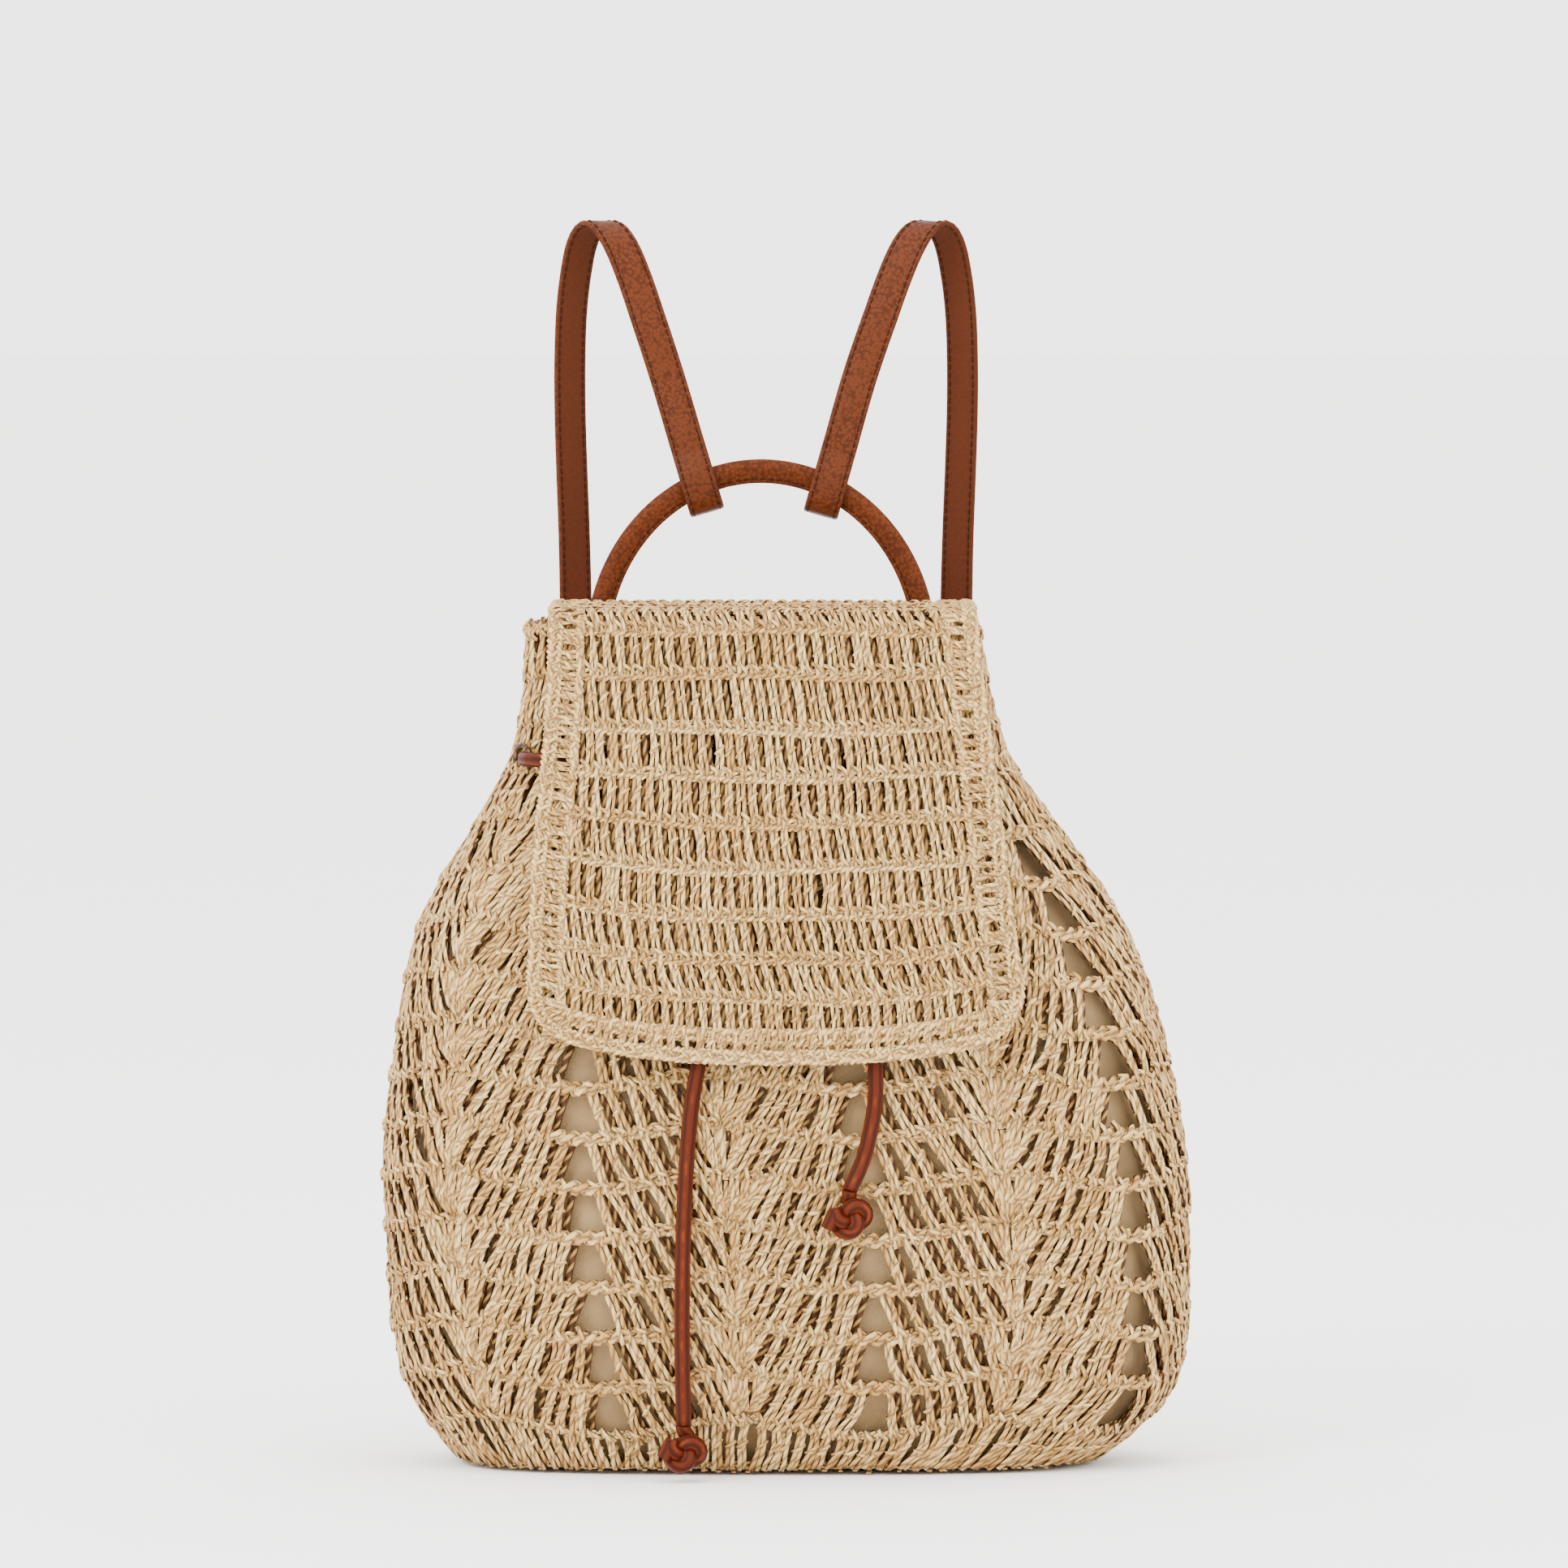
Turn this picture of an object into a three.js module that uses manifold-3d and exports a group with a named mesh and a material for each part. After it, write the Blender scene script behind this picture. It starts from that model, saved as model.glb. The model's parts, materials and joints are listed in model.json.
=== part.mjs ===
// A crocheted straw backpack: a rippled, gathered body with a lining inside it, a flap over the mouth,
// a drawstring through eight eyelets, a carrying handle and two leather shoulder straps.
// Millimetres, +Z up. The front faces -Y and the origin is the middle of the flat base.

import * as THREE from "three";
import { mergeVertices } from "three/addons/utils/BufferGeometryUtils.js";
import Module from "manifold-3d";

const wasm = await Module();
wasm.setup();
const { clamp, lerp, smoothstep, degToRad } = THREE.MathUtils;

// Body of the bag
const bagWidth = 320;
const bagDepth = 146;
const rimHeight = 333;
const rimLift = 3; // how much higher the rim stands at its two sides
const strawWall = 3.2;
const baseWall = 3;

// Crochet rows of the body. Each ripple repeat has one column of open gaps, cut right through.
const repeatCount = 7;
const columnsPerRepeat = 6;
const gapShare = 0.11; // width of the gap column as a share of one repeat
const gapPhase = 0.036; // first gap column, as a share of the girth from the front's middle
const rowCount = 12;
const firstRow = 19;
const rowPitch = 19.7;
const gapFloor = 0.16; // bottom and top of a gap as shares of rowPitch
const gapTop = 0.8;
const rippleHeight = 3.6; // how far the rows dip at the gap columns

// Gathers that the drawstring makes in the neck
const neckShare = 0.841; // height of the drawstring, as a share of rimHeight
const neckHeight = neckShare * rimHeight;
const gatherCount = 10;
const gatherDepth = 2.6;
const gatherStart = 0.66; // where the gathers begin and are full, as shares of rimHeight
const gatherFull = 0.83;

// Lining
const liningWall = 1.2;
const liningGap = 2.8;
const liningBelowNeck = 14; // how far its edge lies under the drawstring

// Flap
const flapWall = 3.2;
const flapDrop = 171;
const flapHalf = 98;
const flapTail = 24; // how far it reaches down the back, where it is sewn on
const flapCorner = 17; // radius of its lower corners

// Drawstring and eyelets
const cordDiameter = 6.2;
const eyeletRadius = 6.2;
const eyeletWall = 0.9;
const eyeletFlange = 1;
const cordPlay = 0.8; // between the cord and an eyelet's bore
const seatDepth = 2.2; // straw left between the two flanges of an eyelet

// Handle
const handleMiddle = -6.3;
const handleHalf = 65.5; // half of its span, between the middles of its legs
const handleRise = 71.5; // from where its arch starts to its top
const handleArch = 319.5; // height where its arch starts
const handleLeg = 22; // straight sewn leg under the arch
const handleWidth = 9.6;
const handleThickness = 5;

// Shoulder straps
const strapWidth = 14;
const strapThickness = 2.2;
const strapRise = 158; // top of the straps above the rim
const strapReach = 34; // how far the rear legs hang behind the handle
const strapLap = 26; // length sewn on the back of the body
const strapFoot = 26; // height of the lower end
const loopHeadroom = 5; // how far a strap's loop hangs under the handle
const loopLap = 14; // length of the loop's end that lies behind its own strap

// Gap kept between pieces that touch
const clearance = 0.4;

// Sections of the body from the base to the rim. height is a share of rimHeight; width, front and back
// are shares of half of bagWidth and bagDepth; lean is a share of bagWidth to the right of the origin;
// squareness is the exponent of the rounded outline.
const bodySections = [
  { height: 0.0, width: 0.773, front: 0.7, back: 0.66, lean: 0, squareness: 3.2 },
  { height: 0.0126, width: 0.808, front: 0.75, back: 0.7, lean: 0.005, squareness: 3.1 },
  { height: 0.032, width: 0.869, front: 0.8, back: 0.75, lean: 0.011, squareness: 3 },
  { height: 0.09, width: 0.955, front: 0.905, back: 0.84, lean: 0.018, squareness: 2.8 },
  { height: 0.15, width: 0.987, front: 0.955, back: 0.88, lean: 0.017, squareness: 2.7 },
  { height: 0.25, width: 0.997, front: 1, back: 0.91, lean: 0.014, squareness: 2.6 },
  { height: 0.36, width: 1, front: 1, back: 0.92, lean: 0.01, squareness: 2.6 },
  { height: 0.53, width: 0.946, front: 0.95, back: 0.89, lean: 0.003, squareness: 2.6 },
  { height: 0.63, width: 0.889, front: 0.89, back: 0.85, lean: -0.006, squareness: 2.6 },
  { height: 0.7, width: 0.819, front: 0.82, back: 0.8, lean: -0.01, squareness: 2.6 },
  { height: 0.76, width: 0.738, front: 0.75, back: 0.74, lean: -0.012, squareness: 2.7 },
  { height: 0.8, width: 0.678, front: 0.68, back: 0.69, lean: -0.013, squareness: 2.8 },
  { height: 0.84, width: 0.622, front: 0.63, back: 0.645, lean: -0.019, squareness: 2.9 },
  { height: 0.9, width: 0.583, front: 0.6, back: 0.61, lean: -0.023, squareness: 3 },
  { height: 0.955, width: 0.573, front: 0.6, back: 0.61, lean: -0.027, squareness: 3 },
  { height: 1, width: 0.562, front: 0.61, back: 0.62, lean: -0.03, squareness: 3 },
];

// Soft dents in the shoulders. around is a share of the girth, span its width as a share of the girth,
// height and reach are shares of rimHeight, depth is a share of gatherDepth, and slant is how far the
// dent leans round the body over the whole height, as a share of the girth.
const folds = [
  { around: 0.8, span: 0.022, height: 0.77, reach: 0.09, depth: 1.7, slant: 0.25 },
  { around: 0.72, span: 0.026, height: 0.72, reach: 0.1, depth: 1.4, slant: 0.15 },
  { around: 0.65, span: 0.024, height: 0.76, reach: 0.08, depth: 1.3, slant: -0.1 },
  { around: 0.55, span: 0.028, height: 0.74, reach: 0.1, depth: 1.2, slant: 0.1 },
  { around: 0.43, span: 0.026, height: 0.75, reach: 0.09, depth: 1.3, slant: -0.12 },
  { around: 0.34, span: 0.024, height: 0.73, reach: 0.1, depth: 1.2, slant: 0.1 },
  { around: 0.27, span: 0.024, height: 0.76, reach: 0.09, depth: 1.6, slant: -0.15 },
  { around: 0.19, span: 0.022, height: 0.78, reach: 0.08, depth: 1.5, slant: -0.25 },
];

// Front of the flap from the rim to its lower edge. drop is a share of flapDrop, half a share of
// flapHalf, lean a share of bagWidth, and off how far it stands off the body, in cord diameters.
const flapSections = [
  { drop: 0, half: 0.852, lean: -0.017, off: 0.36 },
  { drop: 0.05, half: 0.856, lean: -0.016, off: 0.7 },
  { drop: 0.13, half: 0.864, lean: -0.014, off: 1.15 },
  { drop: 0.25, half: 0.885, lean: -0.011, off: 1.55 },
  { drop: 0.36, half: 0.905, lean: -0.01, off: 1.6 },
  { drop: 0.48, half: 0.93, lean: -0.009, off: 1.52 },
  { drop: 0.6, half: 0.952, lean: -0.007, off: 1.46 },
  { drop: 0.72, half: 0.97, lean: -0.004, off: 1.42 },
  { drop: 0.83, half: 0.99, lean: 0, off: 1.42 },
  { drop: 0.91, half: 1, lean: 0.001, off: 1.42 },
  { drop: 0.965, half: 1, lean: 0.0015, off: 1.42 },
  { drop: 1, half: 1, lean: 0.0015, off: 1.42 },
];

// Eyelets by their place round the neck, as shares of the girth from the front's middle toward +X,
// and the side of the wall on which the cord runs from each one to the next.
const eyelets = [
  { around: -0.045, next: "inside" },
  { around: -0.122, next: "outside" },
  { around: -0.197, next: "inside" },
  { around: -0.4, next: "outside" },
  { around: -0.6, next: "inside" },
  { around: -0.838, next: "outside" },
  { around: -0.882, next: "inside" },
  { around: -0.925, next: "end" },
];

// Free part of each strap, from its loop on the handle over the top and down behind the body.
// rise is a share of strapRise above the rim, side a share of the strap's spread from the handle's
// middle, back a share of strapReach, and turn the degrees that the band is turned about the vertical.
const strapCourse = [
  { rise: 0.6, side: 0.487, back: 0.08, turn: 2 },
  { rise: 0.76, side: 0.595, back: 0.17, turn: 4 },
  { rise: 0.89, side: 0.69, back: 0.28, turn: 8 },
  { rise: 0.965, side: 0.77, back: 0.4, turn: 14 },
  { rise: 0.993, side: 0.85, back: 0.56, turn: 22 },
  { rise: 0.965, side: 0.92, back: 0.71, turn: 27 },
  { rise: 0.89, side: 0.965, back: 0.81, turn: 29 },
  { rise: 0.74, side: 1, back: 0.89, turn: 30 },
  { rise: 0.5, side: 1.005, back: 0.96, turn: 30 },
  { rise: 0.2, side: 0.985, back: 1, turn: 29 },
  { rise: -0.1, side: 0.975, back: 1, turn: 25 },
  { rise: -0.55, side: 0.985, back: 0.98, turn: 16 },
  { rise: -1, side: 1.01, back: 0.86, turn: 8 },
  { rise: -1.35, side: 1.03, back: 0.62, turn: 2 },
  { rise: -1.6, side: 1.02, back: 0.34, turn: 0 },
];

// Each strap: its side of the bag, its spread, its place on the handle and its foot round the girth
const straps = [
  { name: "strap_left", side: -1, spread: 76.5, loop: 24.7, foot: 0.61 },
  { name: "strap_right", side: 1, spread: 80.5, loop: 26.9, foot: 0.404 },
];

// Free tails of the drawstring: points chosen by hand, from the eyelet to the knot. Their heights
// are for a rim at tailRim and keep their share of rimHeight when that changes.
const tailRim = 333;
const tails = [
  {
    name: "left",
    knotTurn: 8,
    route: [
      [-28.8, -53.1, 269.7],
      [-28.8, -55, 264.2],
      [-28.8, -57, 258],
      [-28.9, -58.7, 253],
      [-29, -60.2, 248],
      [-29, -62.6, 240],
      [-28.9, -65, 230.5],
      [-28.8, -67.4, 220],
      [-28.4, -69.7, 207.5],
      [-28.2, -71.6, 195],
      [-29.5, -74, 170],
      [-33.4, -75.6, 145],
      [-35.6, -76.7, 115],
      [-36.6, -77.2, 85],
      [-36.8, -77.6, 55],
      [-36.2, -77.8, 22.6],
    ],
  },
  {
    name: "right",
    knotTurn: -35,
    route: [
      [32.1, -54.9, 269.7],
      [32.4, -56.3, 264],
      [32.8, -57.6, 258],
      [33.2, -58.9, 253],
      [33.6, -60.2, 248],
      [34.6, -62.4, 240],
      [35.8, -64.7, 230],
      [37, -67, 220],
      [37.9, -69.2, 207.5],
      [38.6, -71.1, 195],
      [38.6, -72.7, 181],
      [38.4, -74, 168],
      [38.3, -75.6, 148],
      [34.2, -77.6, 128],
      [28.3, -81.3, 114.5],
    ],
  },
];
const knotLength = 19;
const knotRadius = 9;
const tailSides = 8;
const stepsPerTurn = 2.5; // a tail has one step for this many diameters

// Curve through a table's rows that gives the value of every named column at a share
function curveThrough(rows, key) {
  const columns = Object.keys(rows[0]).filter((column) => column !== key);
  const values = rows.flatMap((row) => columns.map((column) => row[column]));
  const curve = new THREE.CubicInterpolant(rows.map((row) => row[key]), values, columns.length);
  return (share) => {
    const found = curve.evaluate(clamp(share, rows[0][key], rows.at(-1)[key]));
    return Object.fromEntries(columns.map((column, i) => [column, found[i]]));
  };
}

const bodyShares = curveThrough(bodySections, "height");
const flapShares = curveThrough(flapSections, "drop");

// Half-sizes and middle of the body at a height
function bodySection(height) {
  const shares = bodyShares(height / rimHeight);
  return {
    middle: shares.lean * bagWidth,
    halfWidth: (shares.width * bagWidth) / 2,
    front: (shares.front * bagDepth) / 2,
    back: (shares.back * bagDepth) / 2,
    squareness: shares.squareness,
  };
}

// Rounded outline of the body at a height, with the length run so far at each point
const outlineSteps = 240;
const outlines = new Map();
function bodyOutline(height) {
  if (outlines.has(height)) return outlines.get(height);
  const { middle, halfWidth, front, back, squareness } = bodySection(height);
  const rounded = (value) => Math.sign(value) * Math.abs(value) ** (2 / squareness);
  const points = [];
  const lengths = [0];
  for (let i = 0; i <= outlineSteps; i++) {
    const turn = ((i / outlineSteps) * 2 - 0.5) * Math.PI;
    const depth = Math.sin(turn) < 0 ? front : back;
    points.push(
      new THREE.Vector2(
        middle + halfWidth * rounded(Math.cos(turn)),
        depth * rounded(Math.sin(turn)),
      ),
    );
    if (i) lengths.push(lengths[i - 1] + points[i].distanceTo(points[i - 1]));
  }
  outlines.set(height, { points, lengths });
  return outlines.get(height);
}

const wrap = (share) => share - Math.floor(share);

// How much the gathers stand out at a height
function gatherSwell(height) {
  return gatherDepth * smoothstep(height / rimHeight, gatherStart, gatherFull);
}

// Gathers and soft dents: how far the wall stands out at a place
function relief(around, height) {
  const share = height / rimHeight;
  let swell = gatherSwell(height) * Math.cos(2 * Math.PI * gatherCount * around);
  for (const fold of folds) {
    const leaned = around - fold.around - fold.slant * (share - fold.height);
    const across = (wrap(leaned + 0.5) - 0.5) / fold.span;
    const along = (share - fold.height) / fold.reach;
    swell -= fold.depth * gatherDepth * Math.exp(-(across ** 2) - along ** 2);
  }
  return swell;
}

// Deepest that any gather or dent reaches into the body at a height
function dentAt(height) {
  const share = height / rimHeight;
  const depths = folds.map(
    (fold) => fold.depth * gatherDepth * Math.exp(-(((share - fold.height) / fold.reach) ** 2)),
  );
  return gatherSwell(height) + Math.max(...depths);
}

// Point on the outside of the body, around as a share of the girth, with its outward direction
function wallAt(around, height) {
  const { points, lengths } = bodyOutline(height);
  const target = wrap(around) * lengths[outlineSteps];
  const next = Math.max(1, lengths.findIndex((length) => length >= target));
  const share = (target - lengths[next - 1]) / (lengths[next] - lengths[next - 1]);
  const spot = points[next - 1].clone().lerp(points[next], share);
  const before = points[(next - 2 + outlineSteps) % outlineSteps];
  const after = points[(next + 1) % outlineSteps];
  const along = after.clone().sub(before).normalize();
  const outward = new THREE.Vector3(along.y, -along.x, 0);
  const point = new THREE.Vector3(spot.x, spot.y, height);
  point.addScaledVector(outward, relief(around, height));
  return { point, outward };
}

// How far the body reaches at an x and a height, to the front (side -1) or to the back (side 1).
// Past steepShare of the half width the value stays, so that a sheet laid on the body stays flat.
const steepShare = 0.8;
function reachAt(x, height, side) {
  const { middle, halfWidth, front, back, squareness } = bodySection(height);
  const share = Math.min(Math.abs(x - middle) / halfWidth, steepShare);
  const depth = side < 0 ? front : back;
  return depth * (1 - share ** squareness) ** (1 / squareness) + gatherSwell(height);
}

// Geometry from shared corners
function geometryFrom(corners, triangles) {
  const geometry = new THREE.BufferGeometry();
  const positions = new Float32Array(corners.flatMap((corner) => corner.toArray()));
  geometry.setAttribute("position", new THREE.BufferAttribute(positions, 3));
  geometry.setIndex(triangles);
  return geometry;
}

// Closed wall between an outer and an inner grid of points. Cells named by isOpen are left out, and
// every free side of a cell gets an edge face. A wrapped grid closes on itself, and base is the pair
// of middle points that close its first row.
function wallGeometry(outer, inner, { wrapped = false, isOpen = () => false, base = null }) {
  const columns = outer[0].length;
  const rows = outer.length;
  const corners = [...outer.flat(), ...inner.flat(), ...(base ?? [])];
  const outside = (row, column) => row * columns + (column % columns);
  const inside = (row, column) => rows * columns + outside(row, column);
  const cells = wrapped ? columns : columns - 1;
  const triangles = [];
  const quad = (a, b, c, d) => triangles.push(a, b, c, a, c, d);
  const isClosed = (row, column) => {
    if (row < 0) return base !== null;
    if (row >= rows - 1 || (!wrapped && (column < 0 || column >= cells))) return false;
    return !isOpen(row, (column + cells) % cells);
  };
  for (let row = 0; row < rows - 1; row++) {
    for (let column = 0; column < cells; column++) {
      if (!isClosed(row, column)) continue;
      const loop = [
        { at: [row, column], beyond: [row - 1, column] },
        { at: [row, column + 1], beyond: [row, column + 1] },
        { at: [row + 1, column + 1], beyond: [row + 1, column] },
        { at: [row + 1, column], beyond: [row, column - 1] },
      ];
      quad(...loop.map(({ at }) => outside(...at)));
      quad(...loop.map(({ at }) => inside(...at)).reverse());
      loop.forEach(({ at, beyond }, i) => {
        if (isClosed(...beyond)) return;
        const to = loop[(i + 1) % 4].at;
        quad(outside(...to), outside(...at), inside(...at), inside(...to));
      });
    }
  }
  if (base) {
    const [outerMiddle, innerMiddle] = [corners.length - 2, corners.length - 1];
    for (let column = 0; column < cells; column++) {
      triangles.push(outside(0, column + 1), outside(0, column), outerMiddle);
      triangles.push(inside(0, column), inside(0, column + 1), innerMiddle);
    }
  }
  return geometryFrom(corners, triangles);
}

// Closed bar swept through stations. Each station has a middle and a direction across the bar, and may
// have one along it. section lists the bar's corners as distances across it and out of its face.
function barGeometry(stations, section) {
  const corners = [];
  stations.forEach(({ middle, across, along }, i) => {
    const before = stations[Math.max(i - 1, 0)].middle;
    const after = stations[Math.min(i + 1, stations.length - 1)].middle;
    const ahead = along ?? after.clone().sub(before).normalize();
    const out = ahead.clone().cross(across).normalize();
    const flat = out.clone().cross(ahead);
    for (const [a, b] of section) {
      corners.push(middle.clone().addScaledVector(flat, a).addScaledVector(out, b));
    }
  });
  const sides = section.length;
  const last = (stations.length - 1) * sides;
  const triangles = [];
  for (let ring = 0; ring < last; ring += sides) {
    for (let side = 0; side < sides; side++) {
      const next = (side + 1) % sides;
      triangles.push(ring + side, ring + next, ring + sides + next);
      triangles.push(ring + side, ring + sides + next, ring + sides + side);
    }
  }
  for (let side = 1; side < sides - 1; side++) {
    triangles.push(0, side + 1, side);
    triangles.push(last, last + side, last + side + 1);
  }
  return geometryFrom(corners, triangles);
}

// Flat band section, and a rounded one for folded leather and cord
const bandSection = (width, thickness) => [
  [-width / 2, -thickness / 2],
  [width / 2, -thickness / 2],
  [width / 2, thickness / 2],
  [-width / 2, thickness / 2],
];
function ovalSection(width, thickness, sides) {
  const section = [];
  for (let i = 0; i < sides; i++) {
    const turn = ((i + 0.5) / sides) * 2 * Math.PI;
    section.push([(width / 2) * Math.cos(turn), (thickness / 2) * Math.sin(turn)]);
  }
  return section;
}

// Closed mesh as a solid that can be cut
function solidOf(geometry) {
  const bare = geometry.clone();
  bare.deleteAttribute("normal");
  bare.deleteAttribute("uv");
  const merged = mergeVertices(bare, 1e-4);
  return new wasm.Manifold(
    new wasm.Mesh({
      numProp: 3,
      vertProperties: merged.attributes.position.array,
      triVerts: new Uint32Array(merged.index.array),
    }),
  );
}

function geometryOf(solid) {
  const mesh = solid.getMesh();
  const geometry = new THREE.BufferGeometry();
  geometry.setAttribute("position", new THREE.BufferAttribute(mesh.vertProperties, 3));
  geometry.setIndex(new THREE.BufferAttribute(mesh.triVerts, 1));
  return geometry;
}

// Body: heights of the grid's rows, and which of its cells are gaps
const gridRows = [
  { height: 0, ripple: 0 },
  { height: firstRow * 0.35, ripple: 0 },
];
const gapRows = new Set();
for (let row = 0; row < rowCount; row++) {
  const foot = firstRow + row * rowPitch;
  gapRows.add(gridRows.length);
  gridRows.push({ height: foot + gapFloor * rowPitch, ripple: 1 });
  gridRows.push({ height: foot + gapTop * rowPitch, ripple: 1 });
}
const bodyTop = firstRow + rowCount * rowPitch;
const collarRows = 3;
for (let row = 1; row <= collarRows; row++) {
  gridRows.push({ height: lerp(bodyTop, rimHeight, row / collarRows), ripple: 1 - row / collarRows });
}

const columnShares = [];
for (let repeat = 0; repeat < repeatCount; repeat++) {
  const middle = gapPhase + repeat / repeatCount;
  for (let column = 0; column < columnsPerRepeat; column++) {
    const past = Math.max(column - 1, 0) / (columnsPerRepeat - 1);
    const share = column ? gapShare / 2 + (1 - gapShare) * past : -gapShare / 2;
    columnShares.push(middle + share / repeatCount);
  }
}

// Rows dip at the gap columns, and the rim stands higher at the sides
function gridHeight({ height, ripple }, around) {
  const dip = Math.cos(2 * Math.PI * repeatCount * (around - gapPhase));
  const side = Math.cos(4 * Math.PI * around);
  return height - ripple * rippleHeight * dip - (height === rimHeight ? (rimLift * (side - 1)) / 2 : 0);
}

// Outer and inner points of the body's wall
function bodyRing(row, isInside) {
  return columnShares.map((around) => {
    const height = gridHeight(row, around);
    const { point, outward } = wallAt(around, Math.min(height, rimHeight));
    point.z = height;
    if (isInside) {
      point.addScaledVector(outward, -strawWall);
      point.z = height >= rimHeight ? height : lerp(baseWall, rimHeight, height / rimHeight);
    }
    return point;
  });
}

const neckEyelets = eyelets.map(({ around, next }) => {
  const { point, outward } = wallAt(around, neckHeight);
  return { around, next, outward, middle: point.addScaledVector(outward, -strawWall / 2) };
});

// Turned solid placed on an eyelet's axis, its profile given as pairs of radius and place outward
function turnedAt({ middle, outward }, profile, sides) {
  const points = profile.map(([radius, out]) => new THREE.Vector2(radius, out));
  const geometry = new THREE.LatheGeometry(points, sides);
  const turn = new THREE.Quaternion().setFromUnitVectors(new THREE.Vector3(0, 1, 0), outward);
  return geometry.applyQuaternion(turn).translate(...middle);
}

const boreRadius = cordDiameter / 2 + cordPlay;
const barrelRadius = boreRadius + eyeletWall;
const eyeletSides = 8;

// Seat cut for an eyelet: a hole for its barrel and a flat face for each flange
function eyeletSeat(place) {
  const hole = barrelRadius + clearance;
  const face = eyeletRadius + clearance;
  const [low, high] = [-seatDepth / 2, seatDepth / 2];
  const free = 3 * strawWall;
  const profile = [[0, -free], [face, -free], [face, low], [hole, low], [hole, high], [face, high],
    [face, free], [0, free]];
  return solidOf(turnedAt(place, profile, eyeletSides));
}

function bagShell() {
  const geometry = wallGeometry(
    gridRows.map((row) => bodyRing(row, false)),
    gridRows.map((row) => bodyRing(row, true)),
    {
      wrapped: true,
      isOpen: (row, column) => gapRows.has(row) && column % columnsPerRepeat === 0,
      base: [new THREE.Vector3(0, 0, 0), new THREE.Vector3(0, 0, baseWall)],
    },
  );
  let solid = solidOf(geometry);
  for (const place of neckEyelets) solid = solid.subtract(eyeletSeat(place));
  return geometryOf(solid);
}

function eyelet(place) {
  const [low, high] = [-seatDepth / 2 - clearance, seatDepth / 2 + clearance];
  const profile = [[boreRadius, low - eyeletFlange], [eyeletRadius, low - eyeletFlange],
    [eyeletRadius, low], [barrelRadius, low], [barrelRadius, high], [eyeletRadius, high],
    [boreRadius, high + eyeletFlange], [boreRadius, low - eyeletFlange]];
  return turnedAt(place, profile, eyeletSides);
}

// Lining: a plain bag a little inside the body, up to its edge under the drawstring
const liningColumns = 20;
const liningShares = [0, 0.02, 0.06, 0.15, 0.32, 0.52, 0.7, 0.82, 0.91, 1];

function lining() {
  const floor = baseWall + clearance;
  const top = neckHeight - liningBelowNeck;
  const ring = (share, inset, rise) => {
    const height = share * top;
    return Array.from({ length: liningColumns }, (_, column) => {
      const around = column / liningColumns;
      const { point, outward } = wallAt(around, height);
      point.addScaledVector(outward, -inset - relief(around, height) - dentAt(height));
      point.z = lerp(rise, top, share);
      return point;
    });
  };
  const inset = strawWall + liningGap;
  return wallGeometry(
    liningShares.map((share) => ring(share, inset, floor)),
    liningShares.map((share) => ring(share, inset + liningWall, floor + liningWall)),
    {
      wrapped: true,
      base: [new THREE.Vector3(0, 0, floor), new THREE.Vector3(0, 0, floor + liningWall)],
    },
  );
}

// Rows of the flap over the mouth: edge is the back (1) or front (-1) of the rim or its middle (0),
// out is how far past that edge and fall how far under the flap's top, both in flap walls
const crossing = [
  { edge: 1, out: 0.82, fall: 0.38 },
  { edge: 1, out: 0.16, fall: 0 },
  { edge: 1, out: -3, fall: 0 },
  { edge: 0, out: 0, fall: 0 },
  { edge: -1, out: -3, fall: 0 },
  { edge: -1, out: 0.16, fall: 0 },
  { edge: -1, out: 0.82, fall: 0.38 },
];

// Flap: middle surface from its sewn tail up the back, over the mouth and down the front
const flapColumns = 10;
const flapTop = rimHeight + rimLift + clearance + flapWall / 2;
const flapSag = 2.5; // dip of its top edge over the middle of the mouth

function flapRow(point) {
  return Array.from({ length: flapColumns + 1 }, (_, column) => point((2 * column) / flapColumns - 1));
}

function flapMiddle() {
  const top = flapShares(0);
  const topX = (across) => top.lean * bagWidth + across * top.half * flapHalf;
  const hold = clearance + flapWall / 2;
  const rows = [];
  for (const drop of [1, 0.5, 0.08]) {
    rows.push(flapRow((across) => {
      const height = rimHeight - drop * flapTail;
      return new THREE.Vector3(topX(across), reachAt(topX(across), height, 1) + hold, height);
    }));
  }
  for (const { edge, out, fall } of crossing) {
    rows.push(flapRow((across) => {
      const y = edge * (reachAt(topX(across), rimHeight, edge) + out * flapWall);
      const sag = edge ? 0 : flapSag * (1 - across ** 2);
      return new THREE.Vector3(topX(across), y, flapTop - fall * flapWall - sag);
    }));
  }
  for (const { drop } of flapSections) {
    const { half, lean, off } = flapShares(drop);
    const fall = drop * flapDrop;
    const intoCorner = Math.max(fall - flapDrop + flapCorner, 0);
    const rounding = flapCorner - Math.sqrt(flapCorner ** 2 - intoCorner ** 2);
    rows.push(flapRow((across) => {
      const height = rimHeight - fall;
      const x = lean * bagWidth + across * (half * flapHalf - rounding);
      const stand = off * cordDiameter + flapWall / 2;
      return new THREE.Vector3(x, -reachAt(x, height, -1) - stand, height);
    }));
  }
  return rows;
}

function flap() {
  const rows = flapMiddle();
  const pick = (row, column) =>
    rows[clamp(row, 0, rows.length - 1)][clamp(column, 0, flapColumns)];
  const offset = (distance) =>
    rows.map((points, row) =>
      points.map((point, column) => {
        const across = pick(row, column + 1).clone().sub(pick(row, column - 1));
        const along = pick(row + 1, column).clone().sub(pick(row - 1, column));
        return point.clone().addScaledVector(along.cross(across).normalize(), distance);
      }),
    );
  return wallGeometry(offset(-flapWall / 2), offset(flapWall / 2), {});
}

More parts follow.
